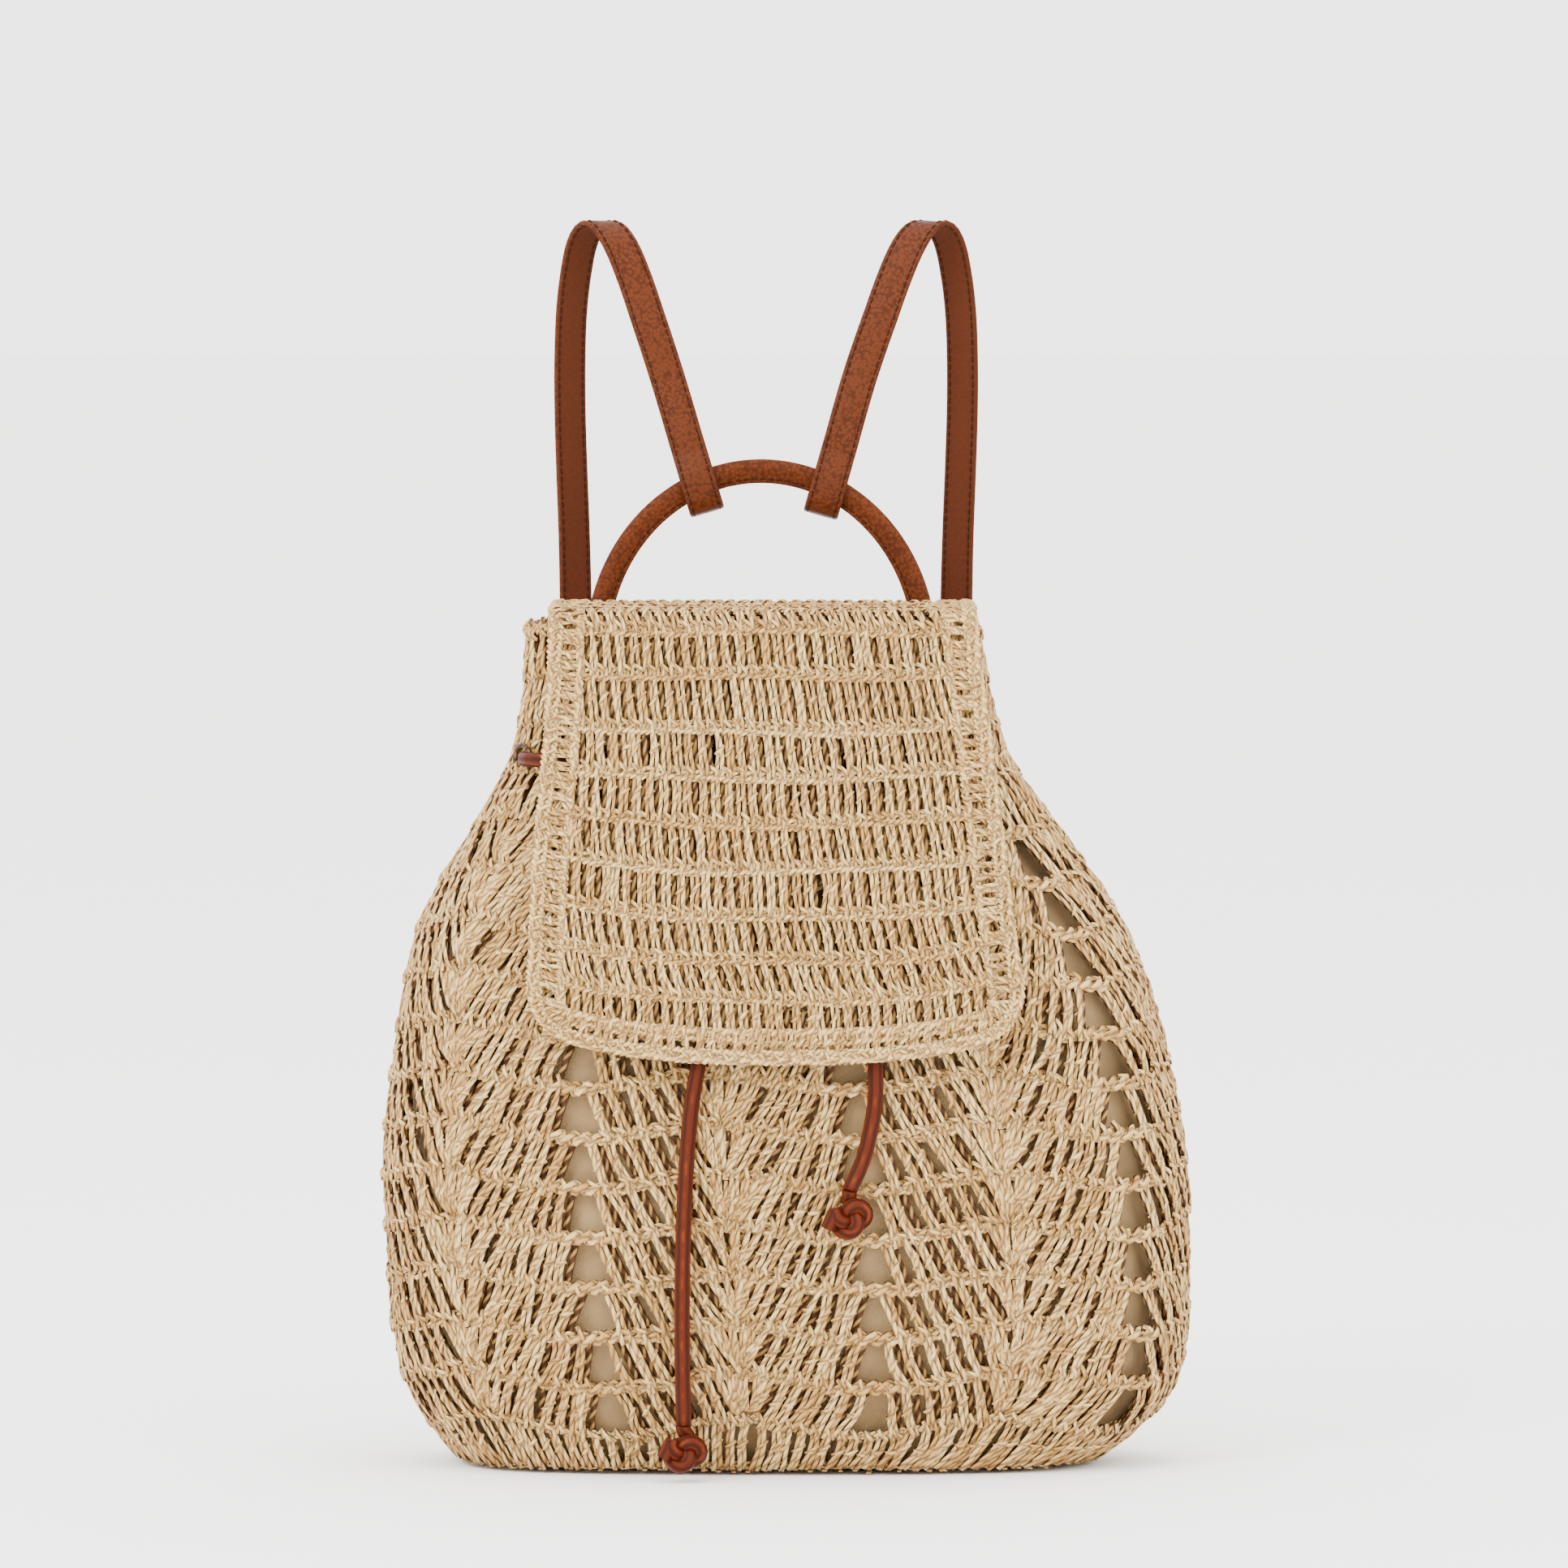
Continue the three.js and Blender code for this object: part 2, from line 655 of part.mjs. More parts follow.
// Drawstring: through each eyelet and along the inside or outside of the gathered wall between them.
// At both ends it comes out of its eyelet and bends down. out and down are in cord diameters from the
// eyelet's face, and turned is how far the bend has turned, from 0 to 1.
const runOff = gatherDepth + cordDiameter / 2 + 2 * clearance;
const runBend = 1.3 * cordDiameter; // from an eyelet's axis to where the run lies along the wall
const runStep = 16;
const through = seatDepth / 2 + eyeletFlange + 2.5 * clearance;
const endBend = [
  { out: 0.4, down: 0.06, turned: 0.3 },
  { out: 0.9, down: 0.38, turned: 0.6 },
  { out: 1.22, down: 0.9, turned: 0.85 },
  { out: 1.42, down: 1.6, turned: 1 },
];

function drawstringRun(from, to, side) {
  const outline = bodyOutline(neckHeight);
  const girth = outline.lengths[outlineSteps];
  const bend = (Math.sign(to - from) * runBend) / girth;
  const count = Math.max(2, Math.round((Math.abs(to - from) * girth - 2 * runBend) / runStep));
  const middles = [];
  for (let step = 0; step <= count; step++) {
    const around = lerp(from + bend, to - bend, step / count);
    const { point, outward } = wallAt(around, neckHeight);
    const off = side === "outside" ? runOff : -strawWall - runOff;
    middles.push(point.addScaledVector(outward, off - relief(around, neckHeight)));
  }
  return middles;
}

// Bend at one end, from the eyelet's face to the cord's end, pointing away from the eyelet
function drawstringEnd({ middle, outward }) {
  const up = new THREE.Vector3(0, 0, 1);
  return endBend.map(({ out, down, turned }) => ({
    middle: middle
      .clone()
      .addScaledVector(outward, through + out * cordDiameter)
      .addScaledVector(up, -down * cordDiameter),
    across: up.clone().lerp(outward, turned),
  }));
}

function drawstring() {
  const up = new THREE.Vector3(0, 0, 1);
  const stations = drawstringEnd(neckEyelets[0]).reverse();
  neckEyelets.forEach(({ middle, outward, around, next }, i) => {
    const sense = next === "inside" ? -1 : 1;
    const along = outward.clone().multiplyScalar(sense);
    for (const side of [-sense, sense]) {
      stations.push({
        middle: middle.clone().addScaledVector(outward, side * through),
        across: up,
        along,
      });
    }
    if (next === "end") return;
    const run = drawstringRun(around, neckEyelets[i + 1].around, next);
    stations.push(...run.map((spot) => ({ middle: spot, across: up })));
  });
  stations.push(...drawstringEnd(neckEyelets.at(-1)));
  return barGeometry(stations, ovalSection(cordDiameter, cordDiameter, tailSides));
}

// Points of a tail's route in the bag as built
function tailPoints({ route }) {
  const rise = rimHeight / tailRim;
  return route.map(([x, y, z]) => new THREE.Vector3(x, y, z * rise));
}

// Free tail of the drawstring, a tube along its hand-chosen route
function cordTail(tail) {
  const curve = new THREE.CatmullRomCurve3(tailPoints(tail));
  const section = new THREE.Shape(
    ovalSection(cordDiameter, cordDiameter, tailSides).map(([a, b]) => new THREE.Vector2(a, b)),
  );
  const steps = Math.round(curve.getLength() / (stepsPerTurn * cordDiameter));
  return new THREE.ExtrudeGeometry(section, { steps, extrudePath: curve });
}

// Knot at the end of a tail, a lumpy oval that starts just under the cord's end
function knot(tail) {
  const geometry = new THREE.SphereGeometry(knotRadius, 8, 6);
  geometry.scale(1, 0.8, knotLength / (2 * knotRadius));
  geometry.rotateY(degToRad(tail.knotTurn));
  const { x, y, z } = tailPoints(tail).at(-1);
  return geometry.translate(x, y, z - knotLength / 2 - clearance);
}

// Handle: an arch that stands on the back of the rim, with two sewn legs
const handleStations = 18;
const handleLean = 3; // how far its top stands behind its legs
const handleHold = 2 * clearance + flapWall + handleThickness / 2;

function handleAt(share) {
  const turn = Math.PI * (1 - share);
  const x = handleMiddle + handleHalf * Math.cos(turn);
  const legX = handleMiddle + (handleHalf - handleWidth / 2) * Math.cos(turn);
  const foot = reachAt(legX, rimHeight, 1) + handleHold;
  const y = foot + handleLean * Math.sin(turn);
  return new THREE.Vector3(x, y, handleArch + handleRise * Math.sin(turn));
}

function handle() {
  const middles = [];
  for (let i = 0; i <= handleStations; i++) middles.push(handleAt(i / handleStations));
  const leg = new THREE.Vector3(0, 0, handleLeg);
  middles.unshift(middles[0].clone().sub(leg));
  middles.push(middles.at(-1).clone().sub(leg));
  const back = new THREE.Vector3(0, 1, 0);
  const stations = middles.map((middle) => ({ middle, across: back }));
  return barGeometry(stations, ovalSection(handleThickness, handleWidth, 8));
}

// Loop of a strap round the handle, as places before the handle and along the strap
function loopPlaces() {
  const touching = strapThickness / 2 + clearance / 2;
  const round = (handleThickness + strapThickness) / 2 + 2 * clearance;
  const under = handleWidth / 2 + loopHeadroom + strapThickness / 2;
  const over = handleWidth / 2 + loopLap;
  return [
    [-touching, over],
    [-touching, over * 0.75],
    [-round, handleWidth / 2],
    [-round, -handleWidth / 2],
    [-round * 0.75, -under * 0.85],
    [0, -under],
    [round * 0.75, -under * 0.85],
    [round, -handleWidth / 2],
    [round, handleWidth / 2],
    [touching, over * 0.75],
    [touching, over],
  ];
}

function strap({ side, spread, loop, foot }) {
  const knots = [];
  const add = (middle, turn) => {
    const angle = degToRad(turn) * -side;
    knots.push({ middle, across: new THREE.Vector3(Math.cos(angle), Math.sin(angle), 0) });
  };
  const placed = ({ rise, side: out, back }, handleY) =>
    new THREE.Vector3(
      handleMiddle + side * out * spread,
      handleY + back * strapReach,
      rimHeight + rise * strapRise,
    );
  // The loop goes round the handle in line with the strap's front leg
  const centre = handleAt(Math.acos((-side * loop) / handleHalf) / Math.PI);
  const up = placed(strapCourse[0], centre.y).sub(centre).setY(0).normalize();
  const forward = new THREE.Vector3(0, -1, 0);
  for (const [before, along] of loopPlaces()) {
    add(centre.clone().addScaledVector(forward, before).addScaledVector(up, along), 0);
  }
  for (const row of strapCourse) add(placed(row, centre.y), row.turn);
  // The lower end lies flat on the back of the body
  const hold = clearance + strapThickness / 2;
  for (const share of [1, 0.5, 0]) {
    const { point, outward } = wallAt(foot, strapFoot + share * strapLap);
    const across = new THREE.Vector3(outward.y, -outward.x, 0);
    knots.push({ middle: point.addScaledVector(outward, hold), across });
  }
  return barGeometry(smoothed(knots), bandSection(strapWidth, strapThickness));
}

// More stations on a smooth curve through the given ones
function smoothed(knots) {
  const curve = new THREE.CatmullRomCurve3(knots.map(({ middle }) => middle), false, "centripetal");
  const stations = [];
  const divisions = (knots.length - 1) * 2;
  for (let i = 0; i <= divisions; i++) {
    const low = Math.min(Math.floor(i / 2), knots.length - 2);
    const across = knots[low].across.clone().lerp(knots[low + 1].across, i / 2 - low);
    stations.push({ middle: curve.getPoint(i / divisions), across });
  }
  return stations;
}

// Materials
const straw = { color: 0xcbae87, roughness: 0.85, metalness: 0 };
const cloth = { color: 0xa98b65, roughness: 0.9, metalness: 0 };
const leather = { color: 0x94552f, roughness: 0.5, metalness: 0 };
const cordLeather = { color: 0x843f22, roughness: 0.5, metalness: 0 };
const brass = { color: 0x5a4028, roughness: 0.4, metalness: 0.9 };

const backpack = new THREE.Group();
function place(name, geometry, look) {
  const mesh = new THREE.Mesh(geometry, new THREE.MeshStandardMaterial(look));
  mesh.name = name;
  backpack.add(mesh);
}

place("bag_shell", bagShell(), straw);
place("lining", lining(), cloth);
place("flap", flap(), straw);
neckEyelets.forEach((at, i) => place(`eyelet_${i + 1}`, eyelet(at), brass));
place("drawstring", drawstring(), cordLeather);
for (const tail of tails) {
  place(`cord_tail_${tail.name}`, cordTail(tail), cordLeather);
  place(`knot_${tail.name}`, knot(tail), cordLeather);
}
place("handle", handle(), leather);
for (const row of straps) place(row.name, strap(row), leather);

export default backpack;
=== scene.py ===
"""Looks of the crocheted straw backpack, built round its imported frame.

Metres, +Z up, the front faces -Y. The sections follow the bag as it is put together."""

import json
import math

import bpy
import numpy as np
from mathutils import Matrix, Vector
from mathutils.bvhtree import BVHTree

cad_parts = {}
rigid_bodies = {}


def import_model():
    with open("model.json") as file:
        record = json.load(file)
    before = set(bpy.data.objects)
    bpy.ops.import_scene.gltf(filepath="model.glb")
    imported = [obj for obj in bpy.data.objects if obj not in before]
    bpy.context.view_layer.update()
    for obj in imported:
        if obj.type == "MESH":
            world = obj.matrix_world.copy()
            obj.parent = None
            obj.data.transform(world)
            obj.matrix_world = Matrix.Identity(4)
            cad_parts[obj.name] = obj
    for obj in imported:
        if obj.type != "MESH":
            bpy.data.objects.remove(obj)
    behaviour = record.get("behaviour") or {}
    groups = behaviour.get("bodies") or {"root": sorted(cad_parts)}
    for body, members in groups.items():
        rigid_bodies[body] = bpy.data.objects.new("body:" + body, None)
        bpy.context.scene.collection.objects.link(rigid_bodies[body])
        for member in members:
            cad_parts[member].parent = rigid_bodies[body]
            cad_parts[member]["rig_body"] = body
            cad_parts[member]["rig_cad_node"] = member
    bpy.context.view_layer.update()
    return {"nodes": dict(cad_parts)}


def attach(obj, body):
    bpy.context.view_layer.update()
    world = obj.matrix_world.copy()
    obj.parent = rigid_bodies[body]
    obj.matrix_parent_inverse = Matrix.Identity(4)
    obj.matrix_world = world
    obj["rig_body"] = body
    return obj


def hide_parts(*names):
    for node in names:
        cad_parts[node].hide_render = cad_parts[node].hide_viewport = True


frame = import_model()
nodes = frame["nodes"]

# Camera: straight in front of the bag and a little above it, far off, so that the bag keeps its
# true outline. The picture is square and takes in 620 mm at the bag.
PICTURE_WIDTH = 0.620
CAMERA_AIM = Vector((0.0029, 0.0, 0.2687))
CAMERA_AWAY = 4.5
CAMERA_RISE = math.radians(3.0)
SENSOR_WIDTH = 36.0

behind = Vector((0, -math.cos(CAMERA_RISE), math.sin(CAMERA_RISE)))
bpy.ops.object.camera_add(
    location=CAMERA_AIM + behind * CAMERA_AWAY,
    rotation=(math.pi / 2 - CAMERA_RISE, 0, 0),
)
camera = bpy.context.object
camera.data.sensor_width = SENSOR_WIDTH
camera.data.lens = CAMERA_AWAY * SENSOR_WIDTH / PICTURE_WIDTH
camera.data.clip_end = 50
bpy.context.scene.camera = camera

# Free tails of the drawstring: rolled leather cord, each hanging from its eyelet under the flap and
# down the front of the bag to its knot. Their routes, in millimetres, are those of the solids.
CORD_DIAMETER = 0.0062
# The dark cord colour is painted shade between the folds, and the light one a painted highlight on their
# crests.
CORD_COLOURS = ((46, 14, 2), (72, 22, 3), (96, 37, 8))
TAIL_ROUTES = {
    "left": (
        (-28.8, -53.1, 269.7), (-28.8, -55.0, 264.2), (-28.8, -57.0, 258.0), (-28.9, -58.7, 253.0),
        (-29.0, -60.2, 248.0), (-29.0, -62.6, 240.0), (-28.9, -65.0, 230.5), (-28.8, -67.4, 220.0),
        (-28.4, -69.7, 207.5), (-28.2, -71.6, 195.0), (-29.5, -74.0, 170.0), (-33.4, -75.6, 145.0),
        (-35.6, -76.7, 115.0), (-36.6, -77.2, 85.0), (-36.8, -77.6, 55.0), (-36.2, -77.8, 22.6),
    ),
    "right": (
        (32.1, -54.9, 269.7), (32.4, -56.3, 264.0), (32.8, -57.6, 258.0), (33.2, -58.9, 253.0),
        (33.6, -60.2, 248.0), (34.6, -62.4, 240.0), (35.8, -64.7, 230.0), (37.0, -67.0, 220.0),
        (37.9, -69.2, 207.5), (38.6, -71.1, 195.0), (38.6, -72.7, 181.0), (38.4, -74.0, 168.0),
        (38.3, -75.6, 148.0), (34.2, -77.6, 128.0), (28.3, -81.3, 114.5),
    ),
}
MILLIMETRE = 0.001
CORD_SIDES = 16
CORD_FOLDS = 5
FINE_STEPS = 16
IOR = 1.45


class Wire:
    """A node's output in a material. Numbers and other wires combine with it through Math nodes."""

    def __init__(self, tree, socket=None):
        self.tree = tree
        self.socket = socket

    def node(self, kind, values=None, settings=None, output=0):
        """Output of a new node, with its settings made first and then its inputs set or linked."""
        made = self.tree.nodes.new(kind)
        for name, value in (settings or {}).items():
            setattr(made, name, value)
        for key, value in (values or {}).items():
            if isinstance(value, Wire):
                self.tree.links.new(value.socket, made.inputs[key])
            else:
                made.inputs[key].default_value = value
        return Wire(self.tree, made.outputs[output])

    def maths(self, operation, *values):
        return self.node("ShaderNodeMath", dict(enumerate(values)), {"operation": operation})

    def sine(self):
        return self.maths("SINE", self)

    def place(self):
        """Place on the object, in metres."""
        return self.node("ShaderNodeTexCoord", output=3)

    def layer(self, name):
        """A UV layer and its two parts."""
        whole = self.node("ShaderNodeUVMap", settings={"uv_map": name})
        parts = [self.node("ShaderNodeSeparateXYZ", {0: whole}, output=i) for i in (0, 1)]
        return (whole, *parts)

    def attribute(self, name):
        return self.node("ShaderNodeAttribute", settings={"attribute_name": name}, output=2)

    def mix(self, colour, other):
        """Colour where this wire is 0, the other where it is 1."""
        return self.node(
            "ShaderNodeMix", {0: self, 6: colour, 7: other}, {"data_type": "RGBA"}, output=2
        )

    def band(self, low, high):
        """0 up to low, 1 from high, and a smooth step between."""
        return self.node(
            "ShaderNodeMapRange",
            {"Value": self, "From Min": low, "From Max": high},
            {"interpolation_type": "SMOOTHSTEP"},
        )

    def __add__(self, other):
        return self.maths("ADD", self, other)

    def __mul__(self, other):
        return self.maths("MULTIPLY", self, other)

    def __rsub__(self, other):
        return self.maths("SUBTRACT", other, self)

    __radd__ = __add__


def paints(colours):
    """Linear colours of paints named by their screen values from 0 to 255."""
    screen = np.array(colours) / 255
    linear = np.where(screen <= 0.04045, screen / 12.92, ((screen + 0.055) / 1.055) ** 2.4)
    return [(*colour, 1.0) for colour in linear.tolist()]


def new_finish(name, roughness, specular=0.5):
    """A material, a wire to start from, and its shader node."""
    made = bpy.data.materials.new(name)
    made.use_nodes = True
    shader = made.node_tree.nodes["Principled BSDF"]
    for key, value in (("Roughness", roughness), ("IOR", IOR), ("Specular IOR Level", specular)):
        shader.inputs[key].default_value = value
    return made, Wire(made.node_tree), shader


def feed(shader, name, wire):
    wire.tree.links.new(wire.socket, shader.inputs[name])


def noise(start, place, scale, detail=2.0):
    """Soft noise between 0 and 1 over a place, with scale lumps to the metre or to the UV unit."""
    return start.node(
        "ShaderNodeTexNoise", {"Vector": place, "Scale": scale, "Detail": detail}
    )


def bump(start, height, strength, distance):
    return start.node(
        "ShaderNodeBump", {"Height": height, "Strength": strength, "Distance": distance}
    )


def cord_leather():
    """Rolled leather: long folds from end to end, fine grain, a little shine on the folds, painted shade
    between them and a painted highlight on their crests.
    """
    made, start, shader = new_finish("cord_leather", 0.5, 0.11)
    _, _, turn = start.layer("Strand")
    place = start.place()
    blotches = noise(start, place, 160.0)
    grain = noise(start, place, 2200.0)
    fold = (turn * (2 * math.pi * CORD_FOLDS) + blotches * 1.6).sine() * 0.5 + 0.5
    dark, middle, light = paints(CORD_COLOURS)
    # Painted shade in the hollows between the folds, and a painted highlight on their crests.
    colour = fold.band(0.05, 0.6).mix(dark, middle)
    colour = (fold * blotches).band(0.42, 0.7).mix(colour, light)
    feed(shader, "Base Color", colour)
    feed(shader, "Roughness", 0.55 - fold * 0.12)
    feed(shader, "Normal", bump(start, fold * 0.7 + grain * 0.3, 0.7, 0.0005))
    return made


def unit(vectors):
    return vectors / np.maximum(np.linalg.norm(vectors, axis=-1, keepdims=True), 1e-12)


def pair(first, second):
    """Two columns side by side, a single number being repeated to fill its own."""
    return np.stack(np.broadcast_arrays(first, second), -1)


def round_section(sides):
    turn = 2 * np.pi * (np.arange(sides) + 0.5) / sides
    return pair(np.cos(turn), np.sin(turn))


class Strands:
    """Strands swept along many lines at once and joined in one mesh. Each face corner knows its place
    along its strand, in centimetres, and round it, from 0 to 1. Each strand has a tint of its own,
    and each point knows how far it faces out of the work, from 0 to 1, which the straw uses to paint
    shade on the sides of each strand."""

    def __init__(self, seed):
        self.chance = np.random.default_rng(seed)
        self.points = []
        self.corners = []
        self.sizes = []
        self.places = []
        self.tints = []
        self.shade_facings = []
        self.count = 0

    def lay(self, lines, outward, radius, section=None, closed=False, across=None, tint=None,
            shade=1.0):
        """Sweeps a section, four-sided if none is given, along lines that have as many points each.
        Its second column points outward. Across sets its first column's direction instead."""
        lines = np.asarray(lines, float)
        many, steps, _ = lines.shape
        section = round_section(4) if section is None else section
        sides = len(section)
        if closed:
            ahead = unit(np.roll(lines, -1, 1) - np.roll(lines, 1, 1))
        else:
            ahead = unit(np.gradient(lines, axis=1))
        outward = np.broadcast_to(outward, lines.shape)
        side = unit(np.cross(ahead, outward)) if across is None else across
        up = unit(np.cross(side, ahead))
        reach = np.broadcast_to(radius, (many, steps))[:, :, None, None]
        spread = section[:, :1] * side[:, :, None, :] + section[:, 1:] * up[:, :, None, :]
        rings = lines[:, :, None, :] + reach * spread
        self.points.append(rings.reshape(-1, 3))

        gaps = np.linalg.norm(np.diff(lines, axis=1), axis=2)
        run = np.concatenate([np.zeros((many, 1)), np.cumsum(gaps, 1)], 1) * 100
        run = run + self.chance.random((many, 1)) * 3
        spans = steps if closed else steps - 1
        here = np.arange(spans)
        after = (here + 1) % steps
        turn = np.arange(sides)
        beside = (turn + 1) % sides
        base = self.count + np.arange(many)[:, None, None] * steps * sides
        low, high = here[None, :, None] * sides, after[None, :, None] * sides
        quads = np.stack(
            [base + low + turn, base + high + turn, base + high + beside, base + low + beside], -1
        )
        step = np.diff(run, axis=1).mean(1, keepdims=True)
        ends = np.concatenate([run[:, 1:], run[:, -1:] + step], 1)[:, :spans]
        along = run[:, :spans, None], ends[:, :, None]
        around = turn / sides, (turn + 1) / sides
        places = [pair(along[i], around[j]) for i, j in ((0, 0), (1, 0), (1, 1), (0, 1))]
        self.corners.append(quads.reshape(-1))
        self.places.append(np.stack(places, -2).reshape(-1, 2))
        self.sizes.append(np.full(many * spans * sides, 4))
        if not closed:
            first = base[:, 0, :] + turn
            last = base[:, 0, :] + (steps - 1) * sides + turn[::-1]
            for cap in (first, last):
                self.corners.append(cap.reshape(-1))
                self.places.append(np.zeros((cap.size, 2)))
                self.sizes.append(np.full(many, sides))
        shades = self.chance.random(many) if tint is None else np.broadcast_to(tint, many)
        self.tints.append(np.repeat(shades, steps * sides))
        # Facing, scaled down by shade, is what the straw paints shade by: strands go darker on their
        # sides, where they turn away from the front.
        facing = (section[:, 1] / np.abs(section[:, 1]).max() + 1) / 2 * shade
        self.shade_facings.append(np.tile(facing, many * steps))
        self.count += many * steps * sides

    def made(self, name, finish):
        """The joined mesh as an object."""
        points = np.concatenate(self.points)
        corners = np.concatenate(self.corners)
        sizes = np.concatenate(self.sizes)
        mesh = bpy.data.meshes.new(name)
        mesh.vertices.add(len(points))
        mesh.vertices.foreach_set("co", points.astype(np.float32).ravel())
        mesh.loops.add(len(corners))
        mesh.polygons.add(len(sizes))
        starts = np.concatenate([[0], np.cumsum(sizes)[:-1]])
        mesh.polygons.foreach_set("loop_start", starts.astype(np.int32))
        mesh.polygons.foreach_set("vertices", corners.astype(np.int32))
        mesh.update(calc_edges=True)
        layer = mesh.uv_layers.new(name="Strand")
        layer.data.foreach_set("uv", np.concatenate(self.places).astype(np.float32).ravel())
        for key, values in (("tint", self.tints), ("facing", self.shade_facings)):
            kept = mesh.attributes.new(key, "FLOAT", "POINT")
            kept.data.foreach_set("value", np.concatenate(values).astype(np.float32))
        mesh.shade_smooth()
        mesh.materials.append(finish)
        made = bpy.data.objects.new(name, mesh)
        bpy.context.scene.collection.objects.link(made)
        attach(made, "root")
        return made


def run_along(line):
    """Distance of each point of a line from its start."""
    return np.r_[0, np.cumsum(np.linalg.norm(np.diff(line, axis=0), axis=1))]


def read_at(places, run, values):
    """Each column of the values, read at places along their run."""
    return np.stack([np.interp(places, run, column) for column in values.T], -1)


def smooth_line(points, count):
    """Points at even steps along a smooth curve through the given ones, and its length."""
    points = np.asarray(points, float)
    ends = np.vstack([2 * points[0] - points[1], points, 2 * points[-1] - points[-2]])
    share = np.linspace(0, 1, FINE_STEPS, endpoint=False)[:, None]
    fine = [
        0.5 * (2 * b + (c - a) * share + (2 * a - 5 * b + 4 * c - d) * share**2)
        + 0.5 * (3 * b - a - 3 * c + d) * share**3
        for a, b, c, d in zip(ends, ends[1:], ends[2:], ends[3:])
    ]
    fine = np.vstack([*fine, points[-1:]])
    run = run_along(fine)
    return read_at(np.linspace(0, run[-1], count), run, fine), run[-1]


cord_finish = cord_leather()
cord_section = round_section(CORD_SIDES)
tails = {}
for side, route in TAIL_ROUTES.items():
    line, length = smooth_line(np.array(route) * MILLIMETRE, 90)
    strands = Strands(seed=3)
    strands.lay(line[None], (0, -1, 0), CORD_DIAMETER / 2, cord_section)
    tail = strands.made(f"drawstring_tail_{side}", cord_finish)
    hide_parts(f"cord_tail_{side}")
    tails[side] = (tail, line, length)

# Overhand knots at the ends of the tails: the same leather cord, tied in itself and drawn tight, so
# that it can't slip back through the eyelets. Its cut end is left to show.
KNOT_TURNS = {"left": 28.0, "right": 8.0}
KNOT_SIZE = 0.00215
KNOT_DROP = 0.0099
KNOT_END = (-0.0030, 0, -0.0062)
KNOT_LEAD = ((0, 0, KNOT_DROP), (0, 0.0006, KNOT_DROP - 0.002))
KNOT_LEAN = 40.0
KNOT_SQUEEZE = 0.48


def overhand(turn):
    """Line of a tight overhand knot round the origin, from the tail above it to its cut end."""
    bend = np.linspace(2 * np.pi - 0.36, 0.3, 40)
    reach = KNOT_SIZE * (2 + np.cos(3 * bend))
    angle = 2 * bend + np.pi - turn
    loop = np.stack(
        [reach * np.cos(angle), -1.1 * KNOT_SIZE * np.sin(3 * bend), reach * np.sin(angle)], 1
    )
    return np.vstack([KNOT_LEAD, loop, loop[-1] + KNOT_END])


for side, (tail, line, length) in tails.items():
    route = overhand(math.radians(KNOT_LEAN + KNOT_TURNS[side]))
    bound, _ = smooth_line(route + line[-1] - np.array((0, 0, KNOT_DROP)), 120)
    strands = Strands(seed=5)
    strands.lay(bound[None], (0.31, -0.9, 0.3), CORD_DIAMETER * KNOT_SQUEEZE, cord_section)
    knot = strands.made(f"drawstring_knot_{side}", cord_finish)
    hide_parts(f"knot_{side}")

# Body of the bag: twisted straw yarn crocheted in the round. Each row is a gap, a run of open
# stitches, a fan worked in one hole and a run of close stitches, and the rows meet in a chain.
# The first straw colour is the painted shade on the sides of the strands and in the grooves between the
# plies.
STRAW_COLOURS = ((64, 36, 11), (172, 130, 72), (192, 153, 93), (218, 185, 124))
YARN_RADIUS = 0.00122
TWISTS = 1.7
BODY_FOOT = 0.0015
BODY_TOP = 0.3325
ROW_COUNT = 12
FIRST_ROW = 0.019
ROW_PITCH = 0.0197
REPEATS = 7
GAP_PHASE = 0.036
GAP_DRIFT = 0.0014
RIPPLE_HEIGHT = 0.0036
OPEN_FEET = np.linspace(0.122, 0.455, 6)
OPEN_HEADS = np.linspace(0.060, 0.378, 6)
FAN_FOOT = 0.525
FAN_HEADS = np.linspace(0.426, 0.640, 7)
FAN_SPREAD = 0.14
FAN_WIDTH = 0.00092
CLOSE_FEET = np.linspace(0.590, 0.900, 7)
CLOSE_HEADS = np.linspace(0.690, 0.962, 7)
POST_WIDTH = 0.00122
POST_DEPTH = 0.0013
FOOT_OVERLAP = 0.11
HEAD_OVERLAP = 0.05
BACK_ASIDE = 0.0029
BACK_DEPTH = 0.0023
BACK_SHADE = 0.66
POST_BOW = 0.0005
POST_SLOPE = 0.0009
POST_SWAY = 0.0008
POST_SCATTER = 0.0002
WRAP_SINK = 0.0005
WRAP_RISE = 0.0021
WRAP_PROUD = 0.0018
LOOP_RISE = 0.0017
LOOP_PROUD = 0.0021
FOOT_SCATTER = 0.0010
HEAD_SCATTER = 0.0011
ROW_SCATTER = 0.0009
HEAD_DROP = 0.0026
CHAIN_DEPTH = 0.0025
CHAIN_SPREAD = 0.0011
ROW_CHAIN_SPREAD = 0.0012
ROW_CHAIN_DRIFT = 0.0005
GAP_CHAIN_LIFT = 0.0010
GAP_CHAIN_SPREAD = 0.0010
GAP_CHAIN_THICKER = 0.22
HOLE_PITCH = 0.112
HOLE_SIZE = 0.0024
HOLE_RISE = 0.0006
HOLE_DEPTH = 0.0044
RIM_HEIGHT = 0.333


